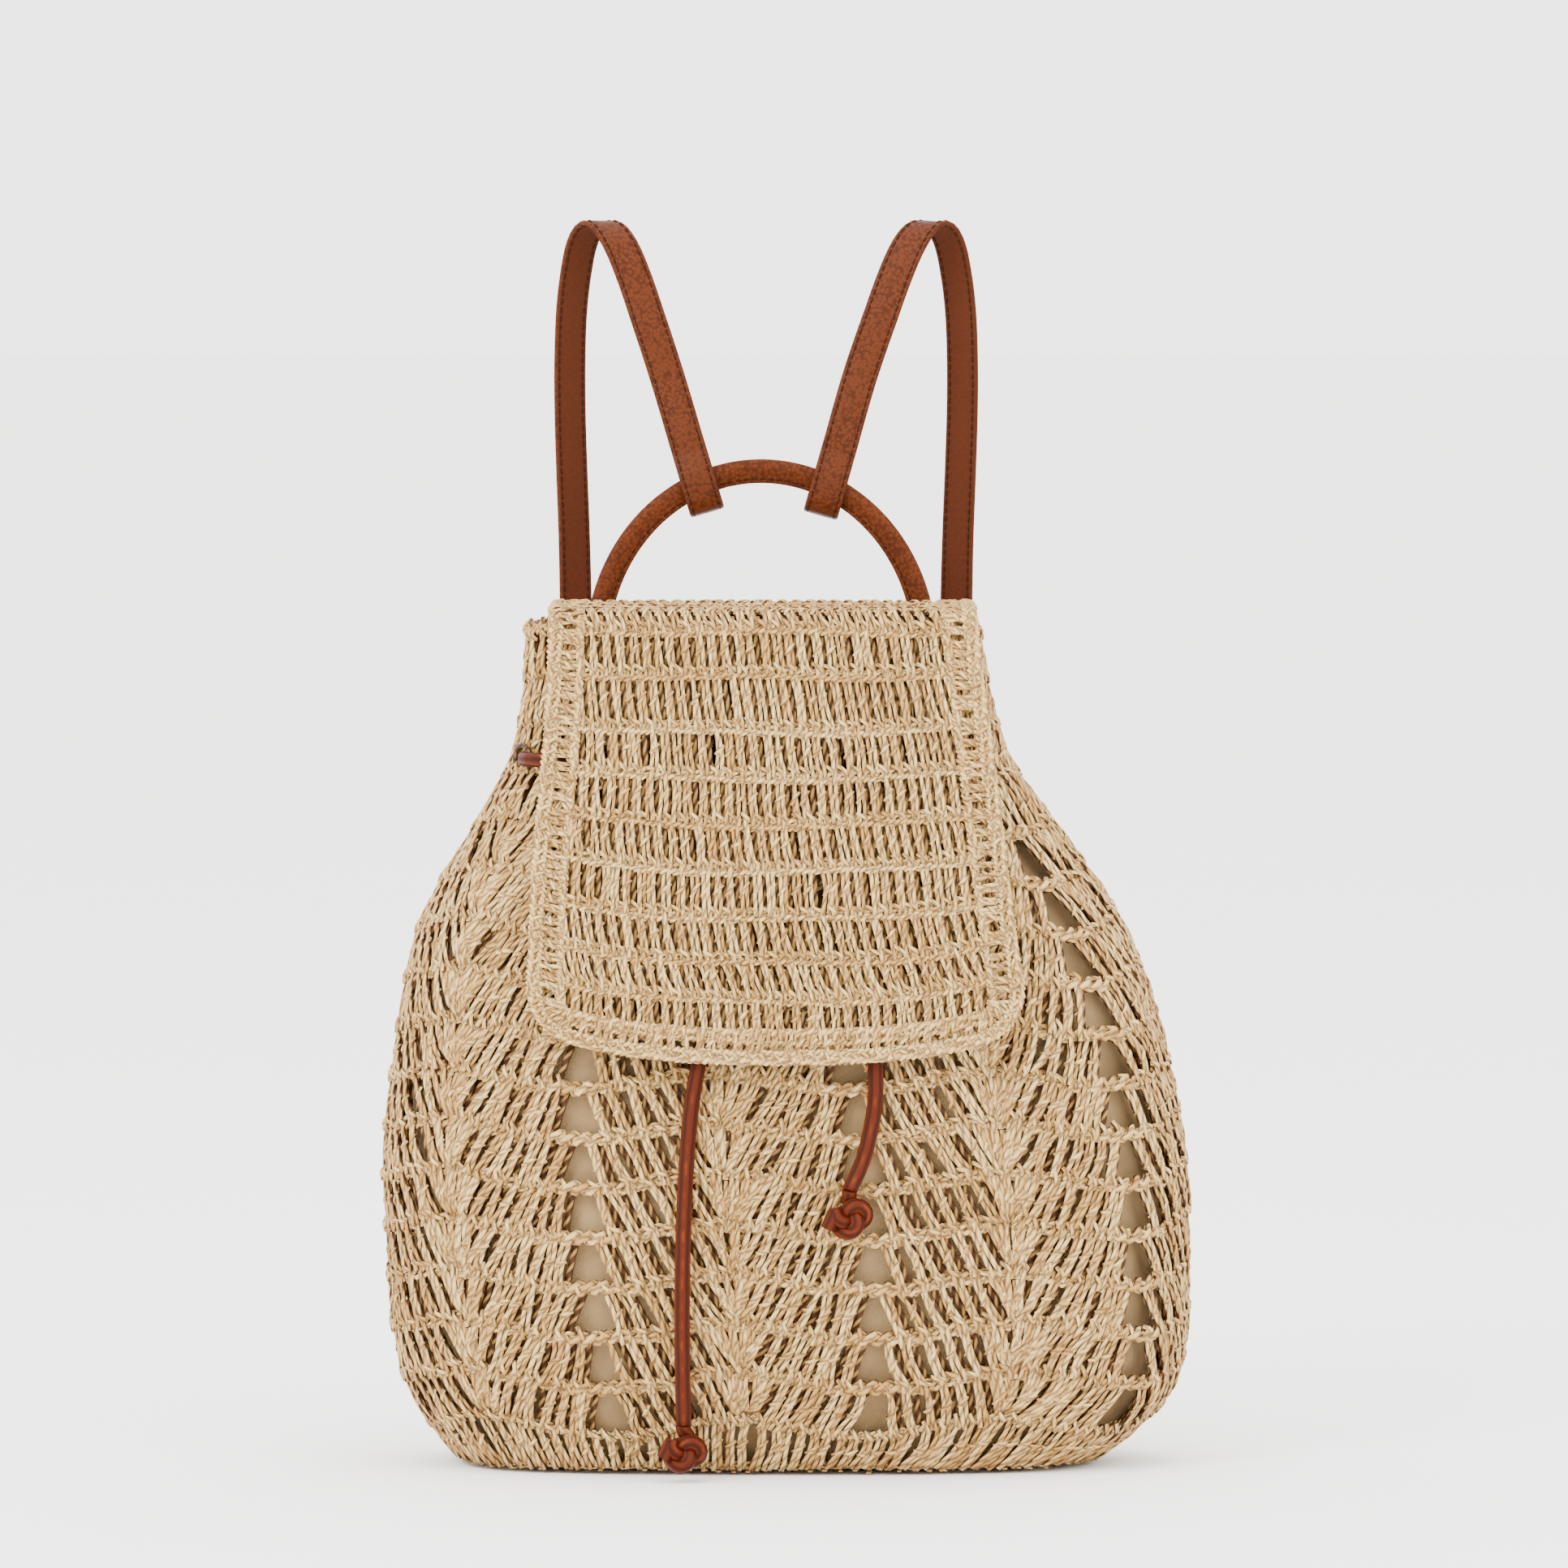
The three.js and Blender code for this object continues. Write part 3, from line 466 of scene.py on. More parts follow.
def straw():
    """Dry plant fibre: two plies twisted together, fine streaks and yarns that differ in tone, with
    painted shade in the grooves between the plies and on the sides of each strand."""
    made, start, shader = new_finish("straw", 0.6, 0.25)
    uv, along, turn = start.layer("Strand")
    tint, facing = start.attribute("tint"), start.attribute("facing")
    lumps = noise(start, start.place(), 26.0)
    stretched = start.node(
        "ShaderNodeVectorMath", {0: uv, 1: (3.0, 14.0, 1.0)}, {"operation": "MULTIPLY"}
    )
    streaks = noise(start, stretched, 1.0)
    ply = along * (2 * math.pi * TWISTS) + turn * (4 * math.pi)
    ply = ply.sine() * 0.5 + 0.5
    painted_shade_brown, low, high, bright = paints(STRAW_COLOURS)
    colour = (tint * 0.7 + lumps * 0.6).band(0.35, 1.0).mix(low, high)
    colour = (streaks * 0.8 + tint * 0.3).band(0.45, 0.8).mix(colour, bright)
    # Painted shade: the sides of each strand and the grooves between the plies are mixed toward dark
    # brown.
    painted_shade = (1 - facing.band(0.45, 0.9)) * facing.band(0.0, 0.3)
    colour = (painted_shade * 0.8 + (1 - ply) * 0.7).band(0.25, 0.95).mix(colour, painted_shade_brown)
    feed(shader, "Base Color", colour)
    feed(shader, "Roughness", 0.55 + streaks * 0.25)
    feed(shader, "Normal", bump(start, ply * 0.8 + streaks * 0.35, 0.85, 0.0007))
    return made


def corners_of(thing):
    return np.array([corner.co for corner in thing.data.vertices])


def surface_of(node):
    """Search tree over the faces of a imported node."""
    mesh = nodes[node].data
    faces = [tuple(face.vertices) for face in mesh.polygons]
    return BVHTree.FromPolygons([corner.co for corner in mesh.vertices], faces)


def softened(grid, times=1):
    """Averages each row of a grid with its neighbours and keeps the first and the last."""
    for _ in range(times):
        grid[1:-1] = (grid[:-2] + 2 * grid[1:-1] + grid[2:]) / 4
    return grid


def blended(grid, rows, columns, down, across):
    """Values of a grid between two of its rows and two of its columns."""
    first, second = (
        grid[row, columns[0]] * (1 - across) + grid[row, columns[1]] * across for row in rows
    )
    return first * (1 - down) + second * down


class Round:
    """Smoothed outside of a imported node, read by share of the girth from the front's middle
    and by height."""

    STEPS = 360
    CASTS = 180
    START = 0.4
    LEAST = 0.02

    def __init__(self, node, low, high, levels, blur):
        tree = surface_of(node)
        self.low = low
        self.pitch = (high - low) / (levels - 1)
        rings = []
        for height in np.linspace(low, high, levels):
            spots = self.cast(tree, height, 0.0)
            middle = (spots[:, 0].min() + spots[:, 0].max()) / 2
            rings.append(self.evened(self.cast(tree, height, middle)))
        grid = softened(self.blurred(np.array(rings), blur))
        heights = np.linspace(low, high, levels)[:, None, None]
        self.grid = np.concatenate([grid, np.broadcast_to(heights, (*grid.shape[:2], 1))], 2)
        round_it = np.roll(self.grid, -1, 1) - np.roll(self.grid, 1, 1)
        self.outward = unit(np.cross(round_it, np.gradient(self.grid, axis=0)))

    def cast(self, tree, height, middle):
        """Points of the solid's outside at a height, in even turns about its middle."""
        turns = np.linspace(0, 2 * np.pi, self.CASTS, endpoint=False)
        found = []
        for turn in turns:
            inward = Vector((-math.sin(turn), math.cos(turn), 0))
            start = Vector((middle, 0, height)) - inward * self.START
            distance = tree.ray_cast(start, inward)[3]
            found.append(self.START - distance if distance else 0.0)
        reach = np.array(found)
        kept = reach > self.LEAST
        reach = np.interp(turns, turns[kept], reach[kept], period=2 * np.pi)
        return pair(middle + reach * np.sin(turns), -reach * np.cos(turns))

    def evened(self, spots):
        """The same ring at even steps along its girth."""
        spots = np.vstack([spots, spots[:1]])
        run = run_along(spots)
        return read_at(np.linspace(0, run[-1], self.STEPS, endpoint=False), run, spots)

    def blurred(self, grid, blur):
        """Softens the grid round the girth, blur being a share of the girth."""
        waves = np.fft.rfftfreq(self.STEPS, 1 / self.STEPS)
        soft = np.exp(-2 * (np.pi * waves * blur) ** 2)
        return np.fft.irfft(np.fft.rfft(grid, axis=1) * soft[None, :, None], self.STEPS, axis=1)

    def at(self, share, height):
        """Points on the outside and their outward directions."""
        share, height = np.broadcast_arrays(np.asarray(share, float), np.asarray(height, float))
        across = (share % 1) * self.STEPS
        left = np.floor(across).astype(int)
        level = np.clip((height - self.low) / self.pitch, 0, len(self.grid) - 1.001)
        under = np.floor(level).astype(int)
        parts = (level - under)[..., None], (across - left)[..., None]
        beside = left % self.STEPS, (left + 1) % self.STEPS
        points, outward = (
            blended(grid, (under, under + 1), beside, *parts) for grid in (self.grid, self.outward)
        )
        points[..., 2] = height
        return points, unit(outward)


def posts(weave, surface, feet, heads, width=POST_WIDTH, depth=POST_DEPTH, bow=POST_BOW, steps=7,
          behind=0.0, yarn=YARN_RADIUS, sway=POST_SWAY, shade=BACK_SHADE):
    """Posts of double crochet between places on a surface: two strands side by side, which cross a
    little, the wrap across them and the loop that lies over the head. Behind is how far to one side
    of each post a strand runs at the back of the work; that strand is painted in shade, with the
    lowest tint and its facing scaled down by shade."""
    feet, heads = (np.asarray(values, float) for values in (feet, heads))
    many = len(feet)
    width = np.broadcast_to(width, many)[:, None]
    chance = weave.chance
    share = np.linspace(-FOOT_OVERLAP, 1 + HEAD_OVERLAP, steps)
    places = feet[:, None, :] * (1 - share)[:, None] + heads[:, None, :] * share[:, None]
    points, outward = surface(places[..., 0], places[..., 1])
    ahead = unit(np.gradient(points, axis=1))
    side = unit(np.cross(ahead, outward))
    arch = np.sin(np.pi * np.clip(share, 0, 1))
    curve = arch * chance.normal(0, sway, (many, 1))
    turn = chance.normal(-0.45, 0.4, (many, 1)) + chance.normal(1.2, 0.4, (many, 1)) * share
    reach = width * (1.02 + 0.12 * share - 0.26 * arch) * chance.normal(1, 0.08, (many, 1))
    lift = bow * arch + POST_SLOPE * (0.5 - share) - depth + chance.normal(0, POST_SCATTER, (many, 1))
    for half in (0, np.pi):
        over = np.cos(turn + half) * reach + curve
        out = np.sin(turn + half) * reach * 0.7 + lift
        line = points + side * over[..., None] + outward * out[..., None]
        weave.lay(line, outward, yarn * chance.normal(1, 0.06, (many, 1)))

    bent = np.linspace(-1, 1, 4)
    arc = np.sqrt(1 - bent**2 * 0.9)
    middle = int(steps * 0.55)
    for place, tilt, reach, rise, proud in (
        (middle, 1.0, width * 1.5, WRAP_RISE, WRAP_PROUD),
        (steps - 1, -1.0, width * 1.7, LOOP_RISE, LOOP_PROUD),
    ):
        centre = points[:, None, place] + side[:, None, place] * curve[:, None, place, None]
        slant = tilt * chance.normal(1, 0.25, (many, 1, 1))
        over = (bent * reach)[..., None] * side[:, None, place]
        along = (bent * rise)[None, :, None] * slant * ahead[:, None, place]
        out = (proud * arc - WRAP_SINK - depth)[None, :, None] * outward[:, None, place]
        weave.lay(centre + over + along + out, outward[:, None, place], yarn * 0.9)
    if behind:
        few = slice(None, None, 2)
        back = points[:, few] + side[:, few] * behind - outward[:, few] * (depth + BACK_DEPTH)
        # The strand at the back is painted in shade: lowest tint, and facing scaled down by shade.
        weave.lay(back, outward[:, few], yarn * 1.25, tint=0.0, shade=shade)


def chain(weave, surface, places, turns, spread=CHAIN_SPREAD, depth=CHAIN_DEPTH, closed=True,
          radius=YARN_RADIUS):
    """Chain edge: two strands that turn about each other along a line of places."""
    places = np.asarray(places, float)
    points, outward = surface(places[..., 0], places[..., 1])
    if closed:
        ahead = unit(np.roll(points, -1, 0) - np.roll(points, 1, 0))
    else:
        ahead = unit(np.gradient(points, axis=0))
    side = unit(np.cross(ahead, outward))
    phase = 2 * np.pi * turns * np.arange(len(places)) / len(places)
    phase = phase + 0.4 * np.sin(phase / 5.3)
    lines = []
    for half in (0, np.pi):
        over = np.cos(phase + half) * spread
        out = np.sin(phase + half) * spread * 0.8 - depth
        lines.append(points + side * over[:, None] + outward * out[:, None])
    weave.lay(lines, outward[None], radius, closed=closed)


def gap_phase(row):
    """Place of the first gap of a row: the gaps drift a little to the left from row to row."""
    return GAP_PHASE + GAP_DRIFT * (ROW_COUNT / 2 - row)


def row_line(row, share):
    """Height of the chain under a row of the body: it peaks at the fans and dips at the gaps."""
    dip = np.cos(2 * np.pi * REPEATS * (share - gap_phase(row)))
    return FIRST_ROW + row * ROW_PITCH - RIPPLE_HEIGHT * dip


body = Round("bag_shell", BODY_FOOT, BODY_TOP, 84, 0.012)
straw_finish = straw()


def worked(share, height):
    """Outside of the body, drawn in round the hole that each fan is worked in."""
    points, outward = body.at(share, height)
    row = np.round((height - FIRST_ROW - RIPPLE_HEIGHT) / ROW_PITCH)
    hole = gap_phase(row) + FAN_FOOT / REPEATS
    aside = ((share - hole) * REPEATS + 0.5) % 1 - 0.5
    across = aside * HOLE_PITCH
    above = height - HOLE_RISE - row_line(row, hole)
    near = np.exp(-(across**2 + above**2) / (2 * HOLE_SIZE**2))
    return points - outward * (HOLE_DEPTH * near)[..., None], outward


fan_feet = FAN_FOOT + (FAN_HEADS - FAN_FOOT) * FAN_SPREAD
row_feet = np.concatenate([OPEN_FEET, fan_feet, CLOSE_FEET])
row_heads = np.concatenate([OPEN_HEADS, FAN_HEADS, CLOSE_HEADS])
stitch_count = REPEATS * len(row_feet)
row_widths = np.full(len(row_feet), POST_WIDTH)
row_widths[len(OPEN_FEET) : -len(CLOSE_FEET)] = FAN_WIDTH


def body_rows(weave, first, last):
    """Posts of the rows from first up to last, and the two chains that each row starts from."""
    for row in range(first, last):
        feet, heads = [], []
        for repeat in range(REPEATS):
            low = gap_phase(row) + (repeat + row_feet) / REPEATS
            high = gap_phase(row + 1) + (repeat + row_heads) / REPEATS
            low = low + weave.chance.normal(0, FOOT_SCATTER, low.shape)
            high = high + weave.chance.normal(0, HEAD_SCATTER, high.shape)
            rises = weave.chance.normal(0, ROW_SCATTER, (2, len(low)))
            feet.append(pair(low, row_line(row, low) + rises[0]))
            heads.append(pair(high, row_line(row + 1, high) + rises[1]))
        feet, heads = np.concatenate(feet), np.concatenate(heads)
        posts(weave, worked, feet, heads, width=np.tile(row_widths, REPEATS), behind=BACK_ASIDE)
    for row in range(max(first, 1), last + 1 if last == ROW_COUNT else last):
        share = np.linspace(0, 1, stitch_count * 3, endpoint=False)
        drift = ROW_CHAIN_DRIFT * np.sin(2 * np.pi * share * 23 + row)
        at_gap = np.cos(2 * np.pi * REPEATS * (share - gap_phase(row)))
        at_gap = np.clip((at_gap - 0.6) / 0.3, 0, 1)
        line = pair(share, row_line(row, share) + drift)
        depth = CHAIN_DEPTH - GAP_CHAIN_LIFT * at_gap
        spread = ROW_CHAIN_SPREAD + GAP_CHAIN_SPREAD * at_gap
        radius = YARN_RADIUS * (1 + GAP_CHAIN_THICKER * at_gap)
        chain(weave, worked, line, stitch_count // 2, spread=spread, depth=depth, radius=radius)
        line[:, 1] -= HEAD_DROP * (1 - at_gap)
        chain(weave, worked, line, stitch_count, depth=depth)


body_pieces = []
for part, first, last in (("lower", 0, 4), ("middle", 4, 8), ("upper", 8, ROW_COUNT)):
    weave = Strands(seed=11 + first)
    body_rows(weave, first, last)
    body_pieces.append(weave.made(f"body_rows_{part}", straw_finish))

# Foot of the bag, in the same straw yarn: plain rounds over the flat base, worked out from a short
# chain in the middle, and one plain round at the side that the first row of the body grows from.
BASE_SPINE = 0.085
BASE_ROUNDS = 3
BASE_REACH = 0.98
BASE_OVERLAP = 0.02
BASE_FEWER = 0.82
BASE_HEIGHT = 0.0036
FOOT_GIRTH = 0.72
FOOT_STITCH = 0.0056
FOOT_HEIGHT = 0.0040
FOOT_CHAIN = 0.0030
FOOT_LEAN = 0.0012


def on_base(share, inward):
    """Places on the underside: share of the girth, and 0 at the edge to 1 at the middle chain."""
    edge, _ = body.at(share, BODY_FOOT)
    spine = np.zeros_like(edge)
    spine[..., 0] = np.clip(edge[..., 0], -BASE_SPINE, BASE_SPINE)
    inward = np.asarray(inward)[..., None]
    points = edge * (1 - inward) + spine * inward
    points[..., 2] = 0
    outward = np.zeros_like(points)
    outward[..., 2] = -1
    return points, outward


weave = Strands(seed=31)
count = int(FOOT_GIRTH / FOOT_STITCH)
share = np.arange(count) / count
posts(weave, body.at, pair(share, FOOT_HEIGHT), pair(share + FOOT_LEAN, row_line(0, share)))
share = np.linspace(0, 1, count * 4, endpoint=False)
for level in (FOOT_CHAIN, row_line(0, share)):
    chain(weave, body.at, pair(share, level), count)
for ring in range(BASE_ROUNDS):
    count = int(count * BASE_FEWER)
    share = np.arange(count) / count
    low, high = ring / BASE_ROUNDS * BASE_REACH, (ring + 1) / BASE_ROUNDS * BASE_REACH
    feet, heads = pair(share, low + BASE_OVERLAP), pair(share, high)
    posts(weave, on_base, feet, heads, bow=0.0, depth=BASE_HEIGHT, steps=3)
    share = np.linspace(0, 1, count * 4, endpoint=False)
    chain(weave, on_base, pair(share, high), count, depth=BASE_HEIGHT)
body_pieces.append(weave.made("base_rounds", straw_finish))

# Collar: plain rows of the same yarn, worked on above the ripple and drawn into gathers by the cord.
# A wavy chain finishes the rim.
COLLAR_START = 0.25
COLLAR_ROWS = 4
COLLAR_STITCHES = 104
COLLAR_LEAN = 0.002
GATHERS = 10
EXTRA_GATHER = 0.0012
RIM_WAVE = 0.0012
RIM_WAVES = 31
RIM_DIP = 0.0015
RIM_SPREAD = 0.0016
RIM_DROP = 0.0018


def collar_wall(share, height):
    """Outside of the body, with deeper gathers near the rim."""
    points, outward = body.at(share, height)
    amount = np.clip((height - COLLAR_START) / 0.05, 0, 1) * EXTRA_GATHER
    swell = amount * np.cos(2 * np.pi * GATHERS * share)
    return points + outward * swell[..., None], outward


def collar_line(row, share):
    """Height of a row's chain: the first follows the ripple, and the last is the rim."""
    top = FIRST_ROW + ROW_COUNT * ROW_PITCH
    done = row / COLLAR_ROWS
    dip = np.cos(2 * np.pi * REPEATS * (share - gap_phase(ROW_COUNT))) * (1 - done)
    wave = np.sin(2 * np.pi * share * RIM_WAVES) * RIM_WAVE * done
    rim = RIM_HEIGHT + RIM_DIP * (np.cos(4 * np.pi * share) - 1)
    return top * (1 - done) + rim * done - RIPPLE_HEIGHT * dip + wave


weave = Strands(seed=41)
for row in range(COLLAR_ROWS):
    share = (np.arange(COLLAR_STITCHES) + 0.5 * (row % 2)) / COLLAR_STITCHES
    low = RIM_DROP if row == COLLAR_ROWS - 1 else 0.0
    heads = pair(share + COLLAR_LEAN, collar_line(row + 1, share) - low)
    posts(weave, collar_wall, pair(share, collar_line(row, share)), heads, behind=BACK_ASIDE)
share = np.linspace(0, 1, COLLAR_STITCHES * 4, endpoint=False)
for row in range(1, COLLAR_ROWS + 1):
    rim = row == COLLAR_ROWS
    spread, depth = (RIM_SPREAD, POST_DEPTH) if rim else (CHAIN_SPREAD, CHAIN_DEPTH)
    line = pair(share, collar_line(row, share))
    chain(weave, collar_wall, line, COLLAR_STITCHES, spread=spread, depth=depth)
body_pieces.append(weave.made("collar_rows", straw_finish))
for piece in body_pieces:
    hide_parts("bag_shell")

# Lining: a bag of plain beige cotton inside the straw, sewn to it under the drawstring along a turned
# hem. It shows through the gaps of the crochet.
LINING_COLOURS = ((138, 110, 72), (168, 138, 96))
LINING_FOOT = 0.0050
LINING_TOP = 0.2655
LINING_READ = 0.2645
LINING_FLOOR = 0.0036
LINING_SPINE = 0.08
LINING_INSETS = (0.97, 0.7, 0.4, 0.1)
LINING_WALL = 0.0007
LINING_COLUMNS = 120
LINING_LEVELS = 48
LINING_PUFF = 0.0006
LINING_HEM = ((-0.0012, 0.0006), (-0.0024, 0.0016), (-0.0022, 0.014))
COLUMN_SIZE = 0.66
ROW_SIZE = 0.55
THREADS = 12


def cotton():
    """Plain woven cotton: fine threads both ways and soft uneven colour."""
    made, start, shader = new_finish("cotton", 0.85)
    place, warp, weft = start.layer("Cloth")
    threads = 2 * math.pi * THREADS
    over = (warp * threads).sine() * (weft * threads).sine()
    cloudy = noise(start, place, 0.6)
    dark, light = paints(LINING_COLOURS)
    colour = (cloudy * 0.8 + over * 0.12).band(0.2, 0.65).mix(dark, light)
    feed(shader, "Base Color", colour)
    feed(shader, "Normal", bump(start, over * 0.5 + cloudy, 0.5, 0.0004))
    return made


def grid_mesh(name, points, uv, finish, uv_name):
    """Sheet through rings of points, each of which closes on itself."""
    rows, columns, _ = points.shape
    here = np.arange(columns)
    after = (here + 1) % columns
    faces, places = [], []
    for row in range(rows - 1):
        low, high = row * columns, (row + 1) * columns
        faces.append(np.stack([low + here, low + after, high + after, high + here], 1))
        wide = here + 1
        places.append(
            np.stack([uv(here, row), uv(wide, row), uv(wide, row + 1), uv(here, row + 1)], 1)
        )
    mesh = bpy.data.meshes.new(name)
    mesh.from_pydata(points.reshape(-1, 3).tolist(), [], np.concatenate(faces).tolist())
    layer = mesh.uv_layers.new(name=uv_name)
    layer.data.foreach_set("uv", np.concatenate(places).astype(np.float32).ravel())
    mesh.shade_smooth()
    mesh.materials.append(finish)
    made = bpy.data.objects.new(name, mesh)
    bpy.context.scene.collection.objects.link(made)
    return made


def choose(piece):
    """Makes a piece the only one that is selected, and the active one."""
    bpy.ops.object.select_all(action="DESELECT")
    bpy.context.view_layer.objects.active = piece
    piece.select_set(True)


inner = Round("lining", LINING_FOOT, LINING_READ, 60, 0.02)
share = np.arange(LINING_COLUMNS) / LINING_COLUMNS
rows = []
for inset in LINING_INSETS:
    flat, _ = inner.at(share, LINING_FOOT)
    spine = pair(np.clip(flat[:, 0], -LINING_SPINE, LINING_SPINE), 0.0)
    flat[:, :2] = flat[:, :2] * (1 - inset) + spine * inset
    flat[:, 2] = LINING_FLOOR
    rows.append(flat)
for level in np.linspace(LINING_FOOT, LINING_TOP, LINING_LEVELS):
    points, outward = inner.at(share, level)
    swell = np.sin(2 * np.pi * (9 * share + level * 14)) * np.sin(2 * np.pi * level * 7.0)
    rows.append(points + outward * (LINING_PUFF * swell - LINING_PUFF)[:, None])
for out, drop in LINING_HEM:
    points, outward = inner.at(share, LINING_TOP - drop)
    rows.append(points + outward * out)
lining = grid_mesh(
    "cotton_lining",
    np.array(rows),
    lambda column, row: pair(column * COLUMN_SIZE, row * ROW_SIZE),
    cotton(),
    "Cloth",
)
choose(lining)
wall = lining.modifiers.new("wall", "SOLIDIFY")
wall.thickness = LINING_WALL
wall.offset = -1.0
bpy.ops.object.modifier_apply(modifier=wall.name)
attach(lining, "root")
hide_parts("lining")

# Flap: plain rows of the same straw yarn, sewn to the back of the collar and laid over the mouth. A
# border of short stitches between chains runs along its sides and lower edge.
FLAP_SEPARATORS = (0.3160, 0.2945, 0.2764, 0.2584, 0.2408, 0.2225, 0.2054, 0.1904, 0.1752)
FLAP_PITCH = 0.0178
FLAP_STITCH = 0.0049
FLAP_BORDER = 0.0125
FLAP_WIDTH = 0.0011
FLAP_YARN = 0.00107
FLAP_DEPTH = 0.0012
FLAP_SWAY = 0.0005
FLAP_SCATTER = 0.0003
FLAP_WAVE = 0.0007
FLAP_BACK_SHADE = 0.76
FLAP_CHAIN_DEPTHS = (0.0019, 0.0013)
FLAP_CORNER = 0.017
FLAP_CORNER_TOP = 0.183
FLAP_CENTRE = 0.270
FLAP_BEND = 0.330
FLAP_TAIL = 0.004
FLAP_LEANS = (0.0004, 0.0012, 0.0002, 0.0016, 0.0022, 0.0006, 0.0024, 0.0008, 0.0014, 0.001)
BORDER_START = 0.002
BORDER_STITCH = 0.0047
BORDER_HEADS = 0.0035
BORDER_WIDTH = 0.00105
BORDER_DEPTH = 0.0010
BORDER_CHAINS = ((FLAP_BORDER, 1.0), (0.0042, 0.95), (0.0014, 1.15))
BORDER_STEP = 0.00118


class Draped:
    """Smoothed outside of the flap, read by distance from its middle line and by distance along it
    from the sewn tail over the mouth to the lower edge."""

    COLUMNS = 25
    INSIDE = 0.96
    TURNS = np.radians(np.linspace(142.0, -52.2, 260))
    LENGTHS = 300

    def __init__(self, node):
        self.tree = surface_of(node)
        edges = np.array([[self.edge(turn, side) for side in (-1, 1)] for turn in self.TURNS])
        low = np.array([self.cast(0.0, turn)[1] for turn in self.TURNS]) < FLAP_CORNER_TOP
        held = int(np.argmax(low & (self.TURNS < 0)))
        edges[held:] = edges[held - 1]
        middle, half = edges.mean(1), (edges[:, 1] - edges[:, 0]) / 2
        columns = []
        for share in np.linspace(-1, 1, self.COLUMNS):
            places = zip(middle + self.INSIDE * share * half, self.TURNS)
            columns.append(self.filled([self.cast(x, turn) for x, turn in places]))
        sheet = np.array(columns)
        steps = np.linalg.norm(np.diff(sheet, axis=1), axis=2)
        run = np.concatenate([np.zeros((self.COLUMNS, 1)), np.cumsum(steps, 1)], 1)
        main = self.COLUMNS // 2
        marks = np.array([self.marks(line, far) for line, far in zip(sheet, run)])
        self.length = run[main, -1]
        even = np.linspace(0, self.length, self.LENGTHS)
        grid, centres, halves = [], [], []
        for line, far, own in zip(sheet, run, marks):
            along = np.interp(even, marks[main], own)
            grid.append(read_at(along, far, line))
            centres.append(np.interp(along, far, middle))
            halves.append(np.interp(along, far, half))
        grid = softened(np.swapaxes(grid, 0, 1), 10).swapaxes(0, 1)
        grid = softened(grid, 4)
        self.middle, self.half = np.mean(centres, 0), np.mean(halves, 0)
        share = np.linspace(-1, 1, self.COLUMNS)[:, None]
        wide = self.middle[None] + share * self.half[None]
        self.grid = np.concatenate([wide[..., None], grid], 2)
        self.outward = unit(np.cross(np.gradient(self.grid, axis=1), np.gradient(self.grid, axis=0)))

    def cast(self, x, turn):
        """Depth and height of the flap where a ray to its hinge line meets it."""
        away = Vector((0, -math.cos(turn), math.sin(turn)))
        hit = self.tree.ray_cast(Vector((x, 0, FLAP_CENTRE)) + away * 0.3, -away, 0.3)[0]
        return (hit.y, hit.z) if hit else (math.nan, math.nan)

    def edge(self, turn, side):
        """Place of a side edge, found by halving."""
        near, far = 0.05, 0.12
        for _ in range(11):
            x = (near + far) / 2
            if math.isnan(self.cast(side * x, turn)[0]):
                far = x
            else:
                near = x
        return side * near

    def filled(self, spots):
        """Gives the rays that missed the flap a place between those that met it."""
        spots = np.array(spots)
        known = ~np.isnan(spots[:, 0])
        index = np.arange(len(spots))
        return read_at(index, index[known], spots[known])

    def marks(self, line, far):
        """Runs of a column at its sewn end, the back and front of the rim, and its lower edge."""
        top = np.flatnonzero(line[:, 1] > FLAP_BEND)
        return far[0], far[top[0]], far[top[-1]], far[-1]

    def half_at(self, along):
        return np.interp(along / self.length, np.linspace(0, 1, self.LENGTHS), self.half)

    def at(self, aside, along):
        """Points on the outside and their outward directions."""
        aside, along = np.broadcast_arrays(np.asarray(aside, float), np.asarray(along, float))
        share = along / self.length
        across = (np.clip(aside / self.half_at(along), -1, 1) + 1) / 2 * (self.COLUMNS - 1)
        left = np.clip(np.floor(across).astype(int), 0, self.COLUMNS - 2)
        down = share * (self.LENGTHS - 1)
        above = np.clip(np.floor(down).astype(int), 0, self.LENGTHS - 2)
        parts = (down - above)[..., None], (across - left)[..., None]
        places = (above, above + 1), (left, left + 1)
        points, outward = (
            blended(grid.swapaxes(0, 1), *places, *parts) for grid in (self.grid, self.outward)
        )
        points[..., 0] = np.interp(share, np.linspace(0, 1, self.LENGTHS), self.middle) + aside
        return points, unit(outward)


drape = Draped("flap")
centre = drape.grid[drape.COLUMNS // 2]
front = (centre[:, 1] < 0) & (centre[:, 2] < FLAP_BEND)
run = np.linspace(0, drape.length, drape.LENGTHS)
separators = np.interp(FLAP_SEPARATORS, centre[front][::-1, 2], run[front][::-1]).tolist()
while separators[0] - FLAP_PITCH > FLAP_TAIL:
    separators.insert(0, separators[0] - FLAP_PITCH)


def across_flap(along, count):
    """Even places across the field inside the border, at a distance along the flap."""
    half = drape.half_at(along) - FLAP_BORDER
    return np.linspace(-1, 1, count) * half


